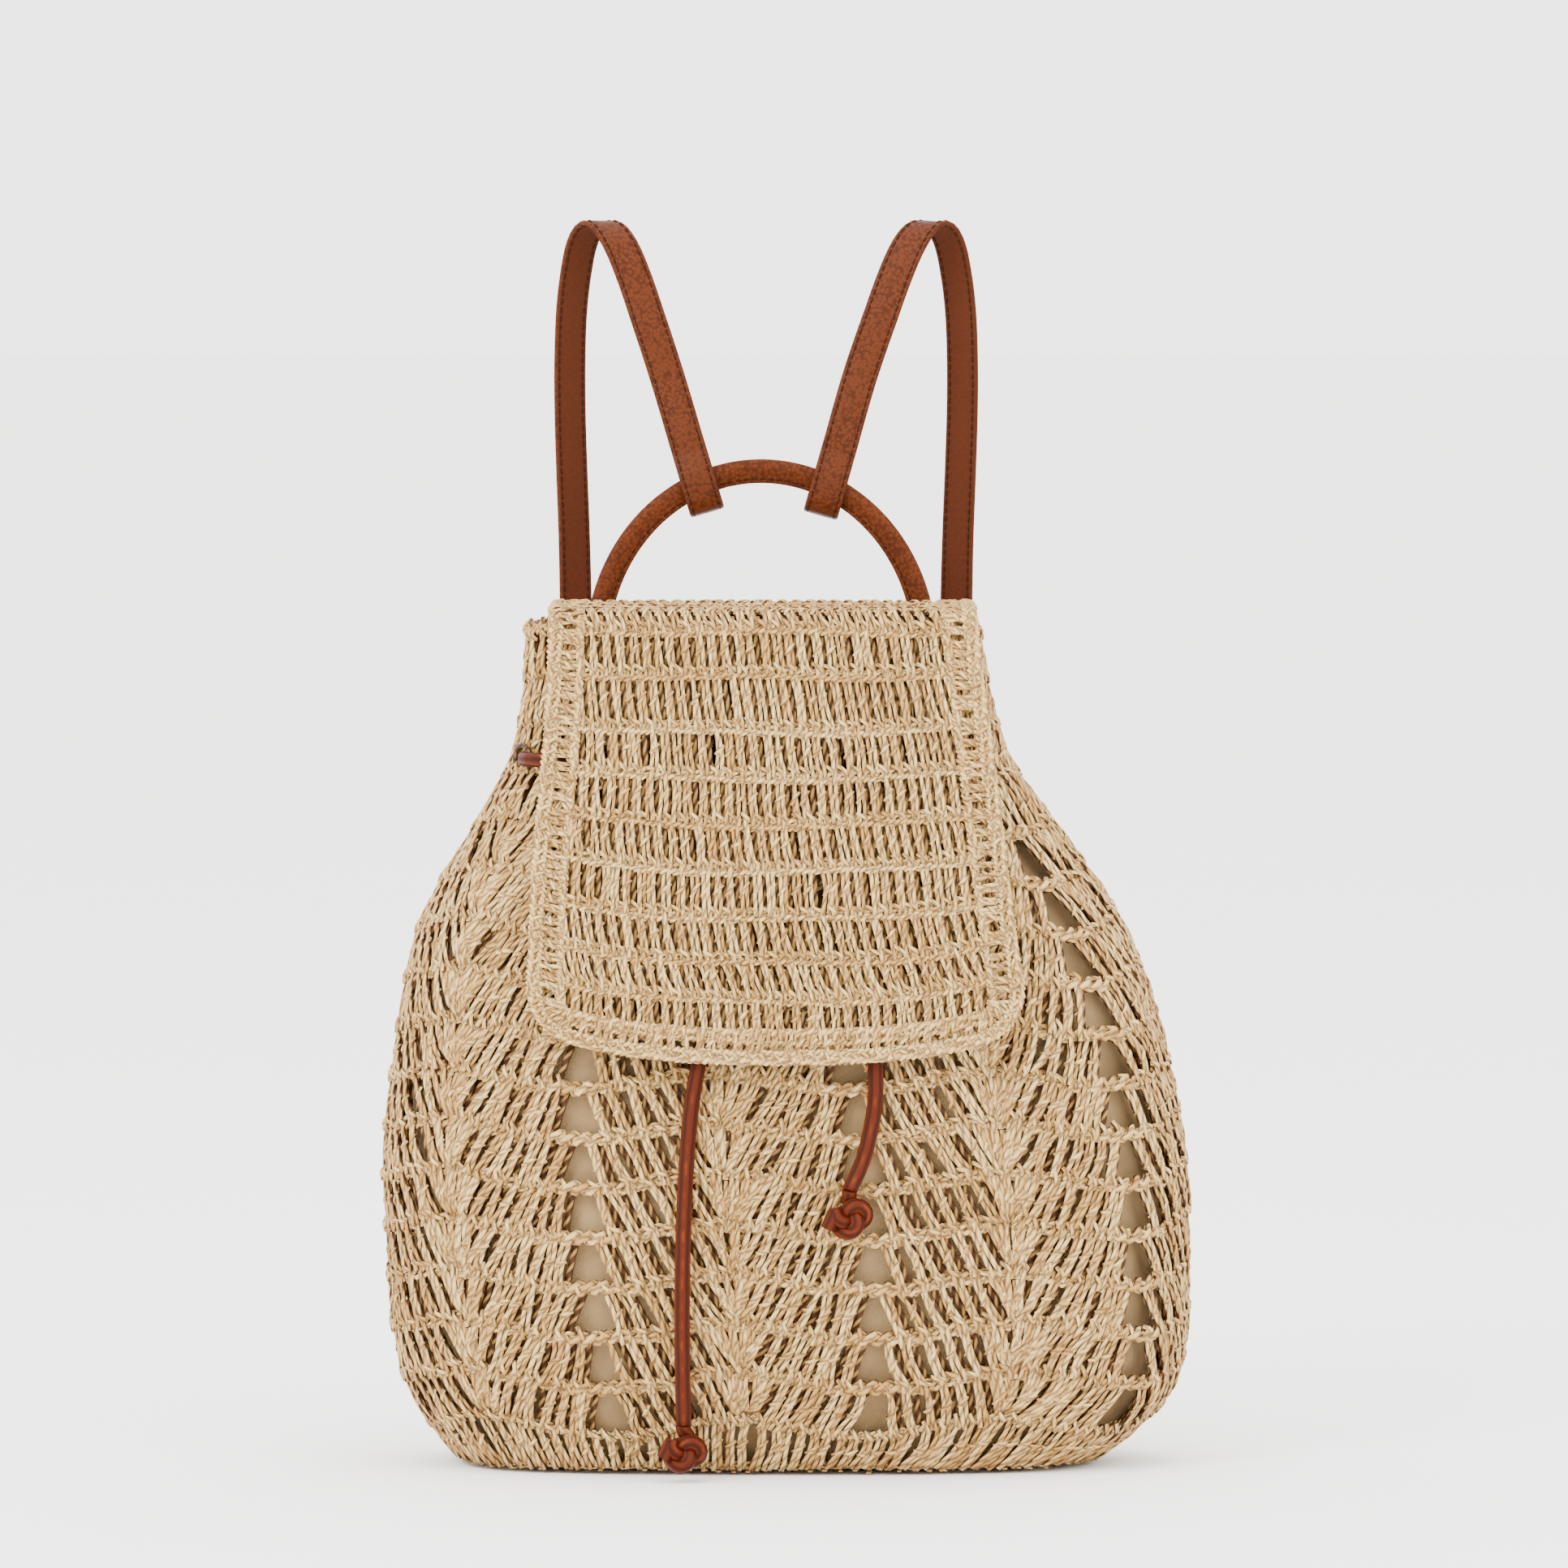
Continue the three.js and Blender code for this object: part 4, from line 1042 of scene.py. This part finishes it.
weave = Strands(seed=51)
for i, (upper, lower) in enumerate(zip(separators, separators[1:])):
    count = int(2 * (drape.half_at(lower) - FLAP_BORDER) / FLAP_STITCH)
    lean = FLAP_LEANS[i % len(FLAP_LEANS)]
    jitter = weave.chance.normal(0, FLAP_SCATTER, count)
    wave = FLAP_WAVE * np.sin(np.linspace(0, 9, count) + i)
    posts(
        weave,
        drape.at,
        pair(across_flap(lower, count) + lean + jitter, lower + wave),
        pair(across_flap(upper, count) - lean + jitter, upper),
        width=FLAP_WIDTH,
        depth=FLAP_DEPTH,
        behind=FLAP_STITCH / 2,
        yarn=FLAP_YARN,
        sway=FLAP_SWAY,
        shade=FLAP_BACK_SHADE,
    )
deep, shallow = FLAP_CHAIN_DEPTHS
for i, along in enumerate(separators):
    count = int(2 * (drape.half_at(along) - FLAP_BORDER) / FLAP_STITCH)
    wave = FLAP_WAVE * np.sin(np.linspace(0, 9, count * 4) + i - 1)
    line = pair(across_flap(along, count * 4), along + wave)
    chain(weave, drape.at, line, count // 2, depth=deep, closed=False, radius=FLAP_YARN)
    if i:
        line[:, 1] += HEAD_DROP
        chain(weave, drape.at, line, count, depth=shallow, closed=False, radius=FLAP_YARN)
flap_field = weave.made("flap_rows", straw_finish)


def flap_edge(inset, pitch):
    """Places along the sides and lower edge of the flap at a distance inside its outline."""
    turn_run = drape.length - FLAP_CORNER
    down = np.arange(BORDER_START, turn_run, pitch)
    left = pair(inset - drape.half_at(down), down)
    corner_half = float(drape.half_at(turn_run)) - FLAP_CORNER
    turns = np.linspace(0, np.pi / 2, int(FLAP_CORNER * np.pi / 2 / pitch) + 2)[1:-1]
    radius = FLAP_CORNER - inset
    corner = pair(-corner_half - radius * np.cos(turns), turn_run + radius * np.sin(turns))
    across = np.linspace(-corner_half, corner_half, int(2 * corner_half / pitch))
    bottom = pair(across, drape.length - inset)
    mirrored = np.concatenate([left, corner])[::-1] * (-1, 1)
    return np.concatenate([left, corner, bottom, mirrored])


weave = Strands(seed=61)
posts(
    weave,
    drape.at,
    flap_edge(FLAP_BORDER, BORDER_STITCH),
    flap_edge(BORDER_HEADS, BORDER_STITCH),
    width=BORDER_WIDTH,
    depth=BORDER_DEPTH,
    steps=5,
    yarn=FLAP_YARN,
)
for inset, thick in BORDER_CHAINS:
    line, radius = flap_edge(inset, BORDER_STEP), YARN_RADIUS * thick
    chain(weave, drape.at, line, len(line) // 4, depth=BORDER_DEPTH, closed=False, radius=radius)
flap_border = weave.made("flap_border", straw_finish)
for piece in (flap_field, flap_border):
    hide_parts("flap")

# Drawstring: the held run of the same rolled leather cord, led in and out of the collar through the
# eight eyelets. It keeps the form of its solid, with a rounder section.
WELD = 0.00002


def welded(piece, distance, then):
    """Joins the corners of a piece that meet, then takes one more step on all of its faces."""
    choose(piece)
    bpy.ops.object.mode_set(mode="EDIT")
    bpy.ops.mesh.select_all(action="SELECT")
    bpy.ops.mesh.remove_doubles(threshold=distance)
    then()
    bpy.ops.object.mode_set(mode="OBJECT")


drawstring = nodes["drawstring"].copy()
drawstring.data = nodes["drawstring"].data.copy()
drawstring.name = "held_drawstring"
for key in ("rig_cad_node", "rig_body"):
    if key in drawstring:
        del drawstring[key]
drawstring.parent = None
bpy.context.scene.collection.objects.link(drawstring)
welded(drawstring, WELD, bpy.ops.mesh.tris_convert_to_quads)
rounding = drawstring.modifiers.new("rounding", "SUBSURF")
rounding.levels = rounding.render_levels = 1
bpy.ops.object.modifier_apply(modifier=rounding.name)
drawstring.data.shade_smooth()
corners = corners_of(drawstring)
turns = np.arctan2(corners[:, 0], -corners[:, 1])
reach = np.linalg.norm(corners[:, :2], axis=1)
spots = np.linspace(-np.pi, np.pi, 121)
near = np.digitize(turns, spots) - 1
kept = np.unique(near)
centres = (spots[kept] + spots[kept + 1]) / 2
middles = [[values[near == i].mean() for i in kept] for values in (reach, corners[:, 2])]
wide, high = (np.interp(turns, centres, values, period=2 * np.pi) for values in middles)
round_cord = np.arctan2(corners[:, 2] - high, reach - wide) / (2 * np.pi) + 0.5
places = pair(turns * reach * 100, round_cord)
layer = drawstring.data.uv_layers.new(name="Strand")
holders = np.array([loop.vertex_index for loop in drawstring.data.loops])
layer.data.foreach_set("uv", places[holders].astype(np.float32).ravel())
drawstring.data.materials.clear()
drawstring.data.materials.append(cord_finish)
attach(drawstring, "root")
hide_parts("drawstring")

# Eyelets: brass rings, browned with age, each pressed together from both sides of the collar so that
# its rolled lips grip the crochet.
BRASS_COLOURS = ((52, 34, 22), (132, 96, 62))
EYELET_LIP = ((3.95, 1.2), (4.1, 2.1), (4.8, 2.5), (5.6, 2.35), (6.2, 1.75), (6.1, 1.5), (4.85, 1.5))
EYELET_WALL = ((4.8, 0.0), (3.9, 0.0))
EYELET_SIDES = 40


def aged_brass():
    """Dark brown patina with brass showing where the rings are rubbed."""
    made, start, shader = new_finish("aged_brass", 0.35)
    shader.inputs["Metallic"].default_value = 0.85
    worn = noise(start, start.place(), 420.0, 3.0)
    dark, light = paints(BRASS_COLOURS)
    feed(shader, "Base Color", worn.band(0.45, 0.75).mix(dark, light))
    feed(shader, "Roughness", 0.28 + worn * 0.25)
    feed(shader, "Normal", bump(start, worn, 0.2, 0.0002))
    return made


brass_finish = aged_brass()
lip = np.array(EYELET_LIP)
outside, inside = EYELET_WALL
profile = np.vstack([lip * (1, -1), outside, lip[::-1], inside]) * MILLIMETRE
turns = 2 * np.pi * np.arange(EYELET_SIDES) / EYELET_SIDES
for number in range(1, 9):
    corners = corners_of(nodes[f"eyelet_{number}"])
    centre = (corners.max(0) + corners.min(0)) / 2
    axis = np.linalg.svd(corners - corners.mean(0))[2][2]
    beside = unit(np.cross((0.0, 0.0, 1.0), axis))
    over = np.cross(axis, beside)
    spokes = np.cos(turns)[:, None] * beside + np.sin(turns)[:, None] * over
    ring = profile[:, 0, None, None] * spokes[None] + profile[:, 1, None, None] * axis
    eyelet = grid_mesh(
        f"ring_{number}",
        np.concatenate([ring, ring[:1]]) + centre,
        lambda column, row: pair(column / EYELET_SIDES, row / len(profile)),
        brass_finish,
        "Ring",
    )
    welded(eyelet, WELD / 2, bpy.ops.mesh.normals_make_consistent)
    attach(eyelet, "root")
    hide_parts(f"eyelet_{number}")

# Handle: one strip of leather folded round a cord and sewn along its inner edge, its two ends sewn
# to the back of the rim.
# The last leather colour is the inner face, partly its own tone and partly painted shade.
LEATHER_COLOURS = ((56, 22, 5), (76, 33, 10), (90, 42, 14), (64, 28, 11))
# The dark thread colour is painted shade in the grooves of the twist.
THREAD_COLOURS = ((24, 8, 2), (52, 22, 7))
HANDLE_MIDDLE = -0.0063
HANDLE_ARCH = 0.3195
HANDLE_HALF_SPAN = 0.0655
HANDLE_RISE = 0.0715
HANDLE_REACH = 0.0056
HANDLE_LEG = 0.0218
HANDLE_TINT = 0.6
HANDLE_FACE = (
    (-4.8, 0.7), (-4.1, 1.25), (-2.4, 1.35), (-1.2, 1.9), (0.4, 2.45), (2.4, 2.4), (4.1, 1.5), (4.8, 0.5)
)
SEAM_PLACE = 0.0031
SEAM_LIFT = 0.00135
STITCH_PITCH = 0.0034
STITCH_LENGTH = 0.0026
STITCH_BEND = (-0.00025, 0.00012, 0.00012, -0.00025)
STITCH_TAPER = (0.8, 1.0, 1.0, 0.8)
THREAD_RADIUS = 0.00034
THREAD_TWISTS = 14


def strap_leather():
    """Tanned leather: pebbled grain, soft blotches, rubbed high spots and an inner face of the hide that
    is darker, partly its own tone and partly painted shade.
    """
    made, start, shader = new_finish("strap_leather", 0.5, 0.10)
    place, tint = start.place(), start.attribute("tint")
    _, _, turn = start.layer("Strand")
    blotches = noise(start, place, 45.0, 3.0)
    pebbles = start.node("ShaderNodeTexVoronoi", {"Vector": place, "Scale": 700.0})
    fine = noise(start, place, 1500.0)
    dark, middle, light, inner = paints(LEATHER_COLOURS)
    colour = (blotches * 0.7 + pebbles * 0.5 + tint).band(0.35, 0.85).mix(middle, light)
    colour = (pebbles * 0.7 + fine * 0.5 + blotches * 0.4).band(0.55, 1.05).mix(colour, dark)
    # The inner face is darker, partly its own tone and partly painted shade.
    flesh_and_shade = turn.band(0.50, 0.53) * (1 - turn.band(0.97, 1.0))
    colour = (flesh_and_shade * 0.85 * (1 - tint)).mix(colour, inner)
    feed(shader, "Base Color", colour)
    feed(shader, "Roughness", 0.42 + blotches * 0.15 + flesh_and_shade * 0.25)
    feed(shader, "Normal", bump(start, (1 - pebbles) * 0.7 + fine * 0.4, 0.6, 0.0004))
    return made


def thread():
    """Waxed sewing thread, with painted shade in the grooves of its twist."""
    made, start, shader = new_finish("thread", 0.6, 0.08)
    _, along, _ = start.layer("Strand")
    lay = (along * (2 * math.pi * THREAD_TWISTS)).sine() * 0.5 + 0.5
    dark, light = paints(THREAD_COLOURS)
    # Painted shade: the twist's grooves are mixed toward the darker thread colour.
    feed(shader, "Base Color", lay.band(0.1, 0.7).mix(dark, light))
    feed(shader, "Normal", bump(start, lay, 0.4, 0.0002))
    return made


def sew(stitches, line, aside, outward, lift):
    """A row of stitches along a line, moved aside on the surface and lifted out of it."""
    run = run_along(line)
    starts = np.arange(STITCH_PITCH, run[-1] - STITCH_PITCH, STITCH_PITCH)
    spots = starts[:, None] + np.linspace(0, STITCH_LENGTH, 4)
    outward_there = read_at(spots, run, outward)
    bend = np.array(STITCH_BEND)[None, :, None]
    lines = read_at(spots, run, line + aside + outward * lift) + outward_there * bend
    stitches.lay(lines, outward_there, np.array([STITCH_TAPER]) * THREAD_RADIUS)


leather_finish = strap_leather()
thread_finish = thread()
corners = corners_of(nodes["handle"])
arch = corners[corners[:, 2] > HANDLE_ARCH - MILLIMETRE]
middles = []
for turn in np.linspace(np.pi, 0, 19):
    x = HANDLE_MIDDLE + HANDLE_HALF_SPAN * math.cos(turn)
    height = HANDLE_ARCH + HANDLE_RISE * math.sin(turn)
    near = arch[np.linalg.norm(arch[:, [0, 2]] - (x, height), axis=1) < HANDLE_REACH, 1]
    middles.append((x, near.min() / 2 + near.max() / 2, height))
leg = np.array((0, 0, -HANDLE_LEG))
first, last = ([end + leg, end + leg / 2] for end in (middles[0], middles[-1]))
line, _ = smooth_line([*first, *middles, *last[::-1]], 140)
back = np.broadcast_to((0.0, 1.0, 0.0), line.shape)
aside = unit(np.cross(unit(np.gradient(line, axis=0)), back))
face = np.array(HANDLE_FACE) * MILLIMETRE
section = np.roll(np.vstack([face, face[::-1] * (1, -1)]), 1, axis=0)
strands = Strands(seed=71)
strands.lay(line[None], back[None], 1.0, section, tint=HANDLE_TINT)
handle = strands.made("folded_handle", leather_finish)
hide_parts("handle")
strands = Strands(seed=73)
for way in (-1, 1):
    sew(strands, line, -aside * SEAM_PLACE, back * way, SEAM_LIFT)
handle_seam = strands.made("handle_seam", thread_finish)

# Shoulder straps: flat leather bands, each looped round the handle and sewn back on itself, led over
# and down behind the bag and sewn to the back of the body. A line of stitches runs along each edge.
STRAP_WIDTH = 0.014
STRAP_THICKNESS = 0.0022
STRAP_SEAM = 0.0053
STRAP_STEPS = 200
LOOP_RUN = 0.062
LEG_START = 0.090
SHARP = math.radians(62)
BAND_EDGE = 0.0004
BAND_FACE = ((0.86, 1.0), (0.75, 0.86), (0.62, 1.04), (0.0, 1.06))


def strap_stations(node):
    """Middles and directions across and out of a packed strap, read along its four sharp edges."""
    points = corners_of(nodes[node])
    rounded = np.round(points, 5)
    _, first, place = np.unique(rounded, axis=0, return_index=True, return_inverse=True)
    place = place.reshape(-1)
    points = points[first]
    normals, beside = {}, {}
    for face in nodes[node].data.polygons:
        ring = [int(place[corner]) for corner in face.vertices]
        for a, b in zip(ring, ring[1:] + ring[:1]):
            normals.setdefault((min(a, b), max(a, b)), []).append(face.normal.copy())
    for (a, b), sides in normals.items():
        if len(sides) == 2 and sides[0].angle(sides[1], 0) > SHARP:
            beside.setdefault(a, []).append(b)
            beside.setdefault(b, []).append(a)
    corners = [a for a, others in beside.items() if len(others) > 2]
    ends = sorted(corners, key=lambda a: points[a][2])[:4]
    chains = []
    for start in ends:
        line = [start, next(b for b in beside[start] if b not in ends)]
        while True:
            here, last = line[-1], line[-2]
            heading = unit(points[here] - points[last])
            onward = [b for b in beside[here] if b != last]
            agree = {b: float(unit(points[b] - points[here]) @ heading) for b in onward}
            nearest = max(agree, key=agree.get)
            if agree[nearest] < 0.3:
                break
            line.append(nearest)
        chains.append(points[line])
    size = min(len(line) for line in chains)
    chains = [line[:size] for line in chains]
    start = chains[0][0]
    order = sorted(range(1, 4), key=lambda i: np.linalg.norm(chains[i][0] - start))
    near, wide, far = (chains[i] for i in order)
    middle = (chains[0] + near + wide + far) / 4
    across = unit(wide + far - chains[0] - near)
    out = unit(near + far - chains[0] - wide)
    return middle, across, out


def band_section(width, thickness):
    """Flat band with rounded edges, pressed a little along its seams."""
    half, deep = width / 2, thickness / 2
    edge = [(half - BAND_EDGE, -deep * 0.86), (half, -deep * 0.35)]
    edge = edge + [(x, -y) for x, y in edge[::-1]]
    face = [(share * half, deep * rise) for share, rise in BAND_FACE]
    top = face + [(-x, y) for x, y in face[-2::-1]]
    return np.array(edge + top + [(-x, -y) for x, y in edge + top])


for side in ("left", "right"):
    middle, across, out = strap_stations(f"strap_{side}")
    line, length = smooth_line(middle, STRAP_STEPS)
    run = run_along(middle)
    even = np.linspace(0, run[-1], STRAP_STEPS)
    across = unit(read_at(even, run, across))
    ahead = unit(np.gradient(line, axis=0))
    low, high = line[np.searchsorted(even, [length - LEG_START, length - LOOP_RUN])]
    leg = low - high
    square = unit(np.cross((0.0, 1.0, 0.0), leg * (1, 0, 1)))
    square = square * np.sign(across[-20] @ square)
    looped = np.clip((even - length + LEG_START) / (LEG_START - LOOP_RUN), 0, 1)[:, None]
    across = unit(across * (1 - looped) + square * looped)
    out = unit(np.cross(across, ahead))
    across = unit(np.cross(ahead, out))
    if out[int(len(out) * 0.3)][1] < 0:
        out, across = -out, -across
    section = band_section(STRAP_WIDTH, STRAP_THICKNESS)
    strands = Strands(seed=81)
    strands.lay(line[None], out[None], 1.0, section, across=across[None], tint=0.0)
    strap = strands.made(f"shoulder_strap_{side}", leather_finish)
    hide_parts(f"strap_{side}")
    strands = Strands(seed=83)
    for edge in (-1, 1):
        for face in (-1, 1):
            sew(strands, line, across * edge * STRAP_SEAM, out * face, STRAP_THICKNESS / 2)
    seam = strands.made(f"strap_seam_{side}", thread_finish)

# Studio: a wide pale floor that runs out to a sky of the same tone, and soft light from large panels
# on the left, on the right and overhead.
FLOOR_HALF = 30.0
FLOOR_COLOURS = ((251, 250, 249), (249, 248, 247))
floor_finish, start, shader = new_finish("pale_floor", 0.9)
dark, light = paints(FLOOR_COLOURS)
feed(shader, "Base Color", noise(start, start.place(), 3.0).mix(dark, light))
bpy.ops.object.select_all(action="DESELECT")
bpy.ops.mesh.primitive_grid_add(x_subdivisions=6, y_subdivisions=6, size=2 * FLOOR_HALF)
floor = bpy.context.object
floor.name = "studio_floor"
floor.data.materials.append(floor_finish)

LIGHTS_AIM = Vector((0, 0, 0.22))
LIGHTS = (
    ("key_panel", (-1.8, -2.4, 2.3), 1.2, 100.0),
    ("fill_panel", (2.3, -2.4, 1.2), 2.0, 20.0),
    ("top_panel", (0.2, -0.3, 2.9), 1.6, 40.0),
)
for name, where, size, power in LIGHTS:
    facing = (LIGHTS_AIM - Vector(where)).to_track_quat("-Z", "Y")
    bpy.ops.object.light_add(type="AREA", location=where, rotation=facing.to_euler())
    light = bpy.context.object
    light.name = name
    light.data.size = size
    light.data.energy = power
SKY_COLOUR = (1.0, 0.995, 0.985, 1)
SKY_STRENGTH = 3.6
sky = bpy.data.worlds.new("studio")
sky.use_nodes = True
background = sky.node_tree.nodes["Background"]
background.inputs["Color"].default_value = SKY_COLOUR
background.inputs["Strength"].default_value = SKY_STRENGTH
bpy.context.scene.world = sky
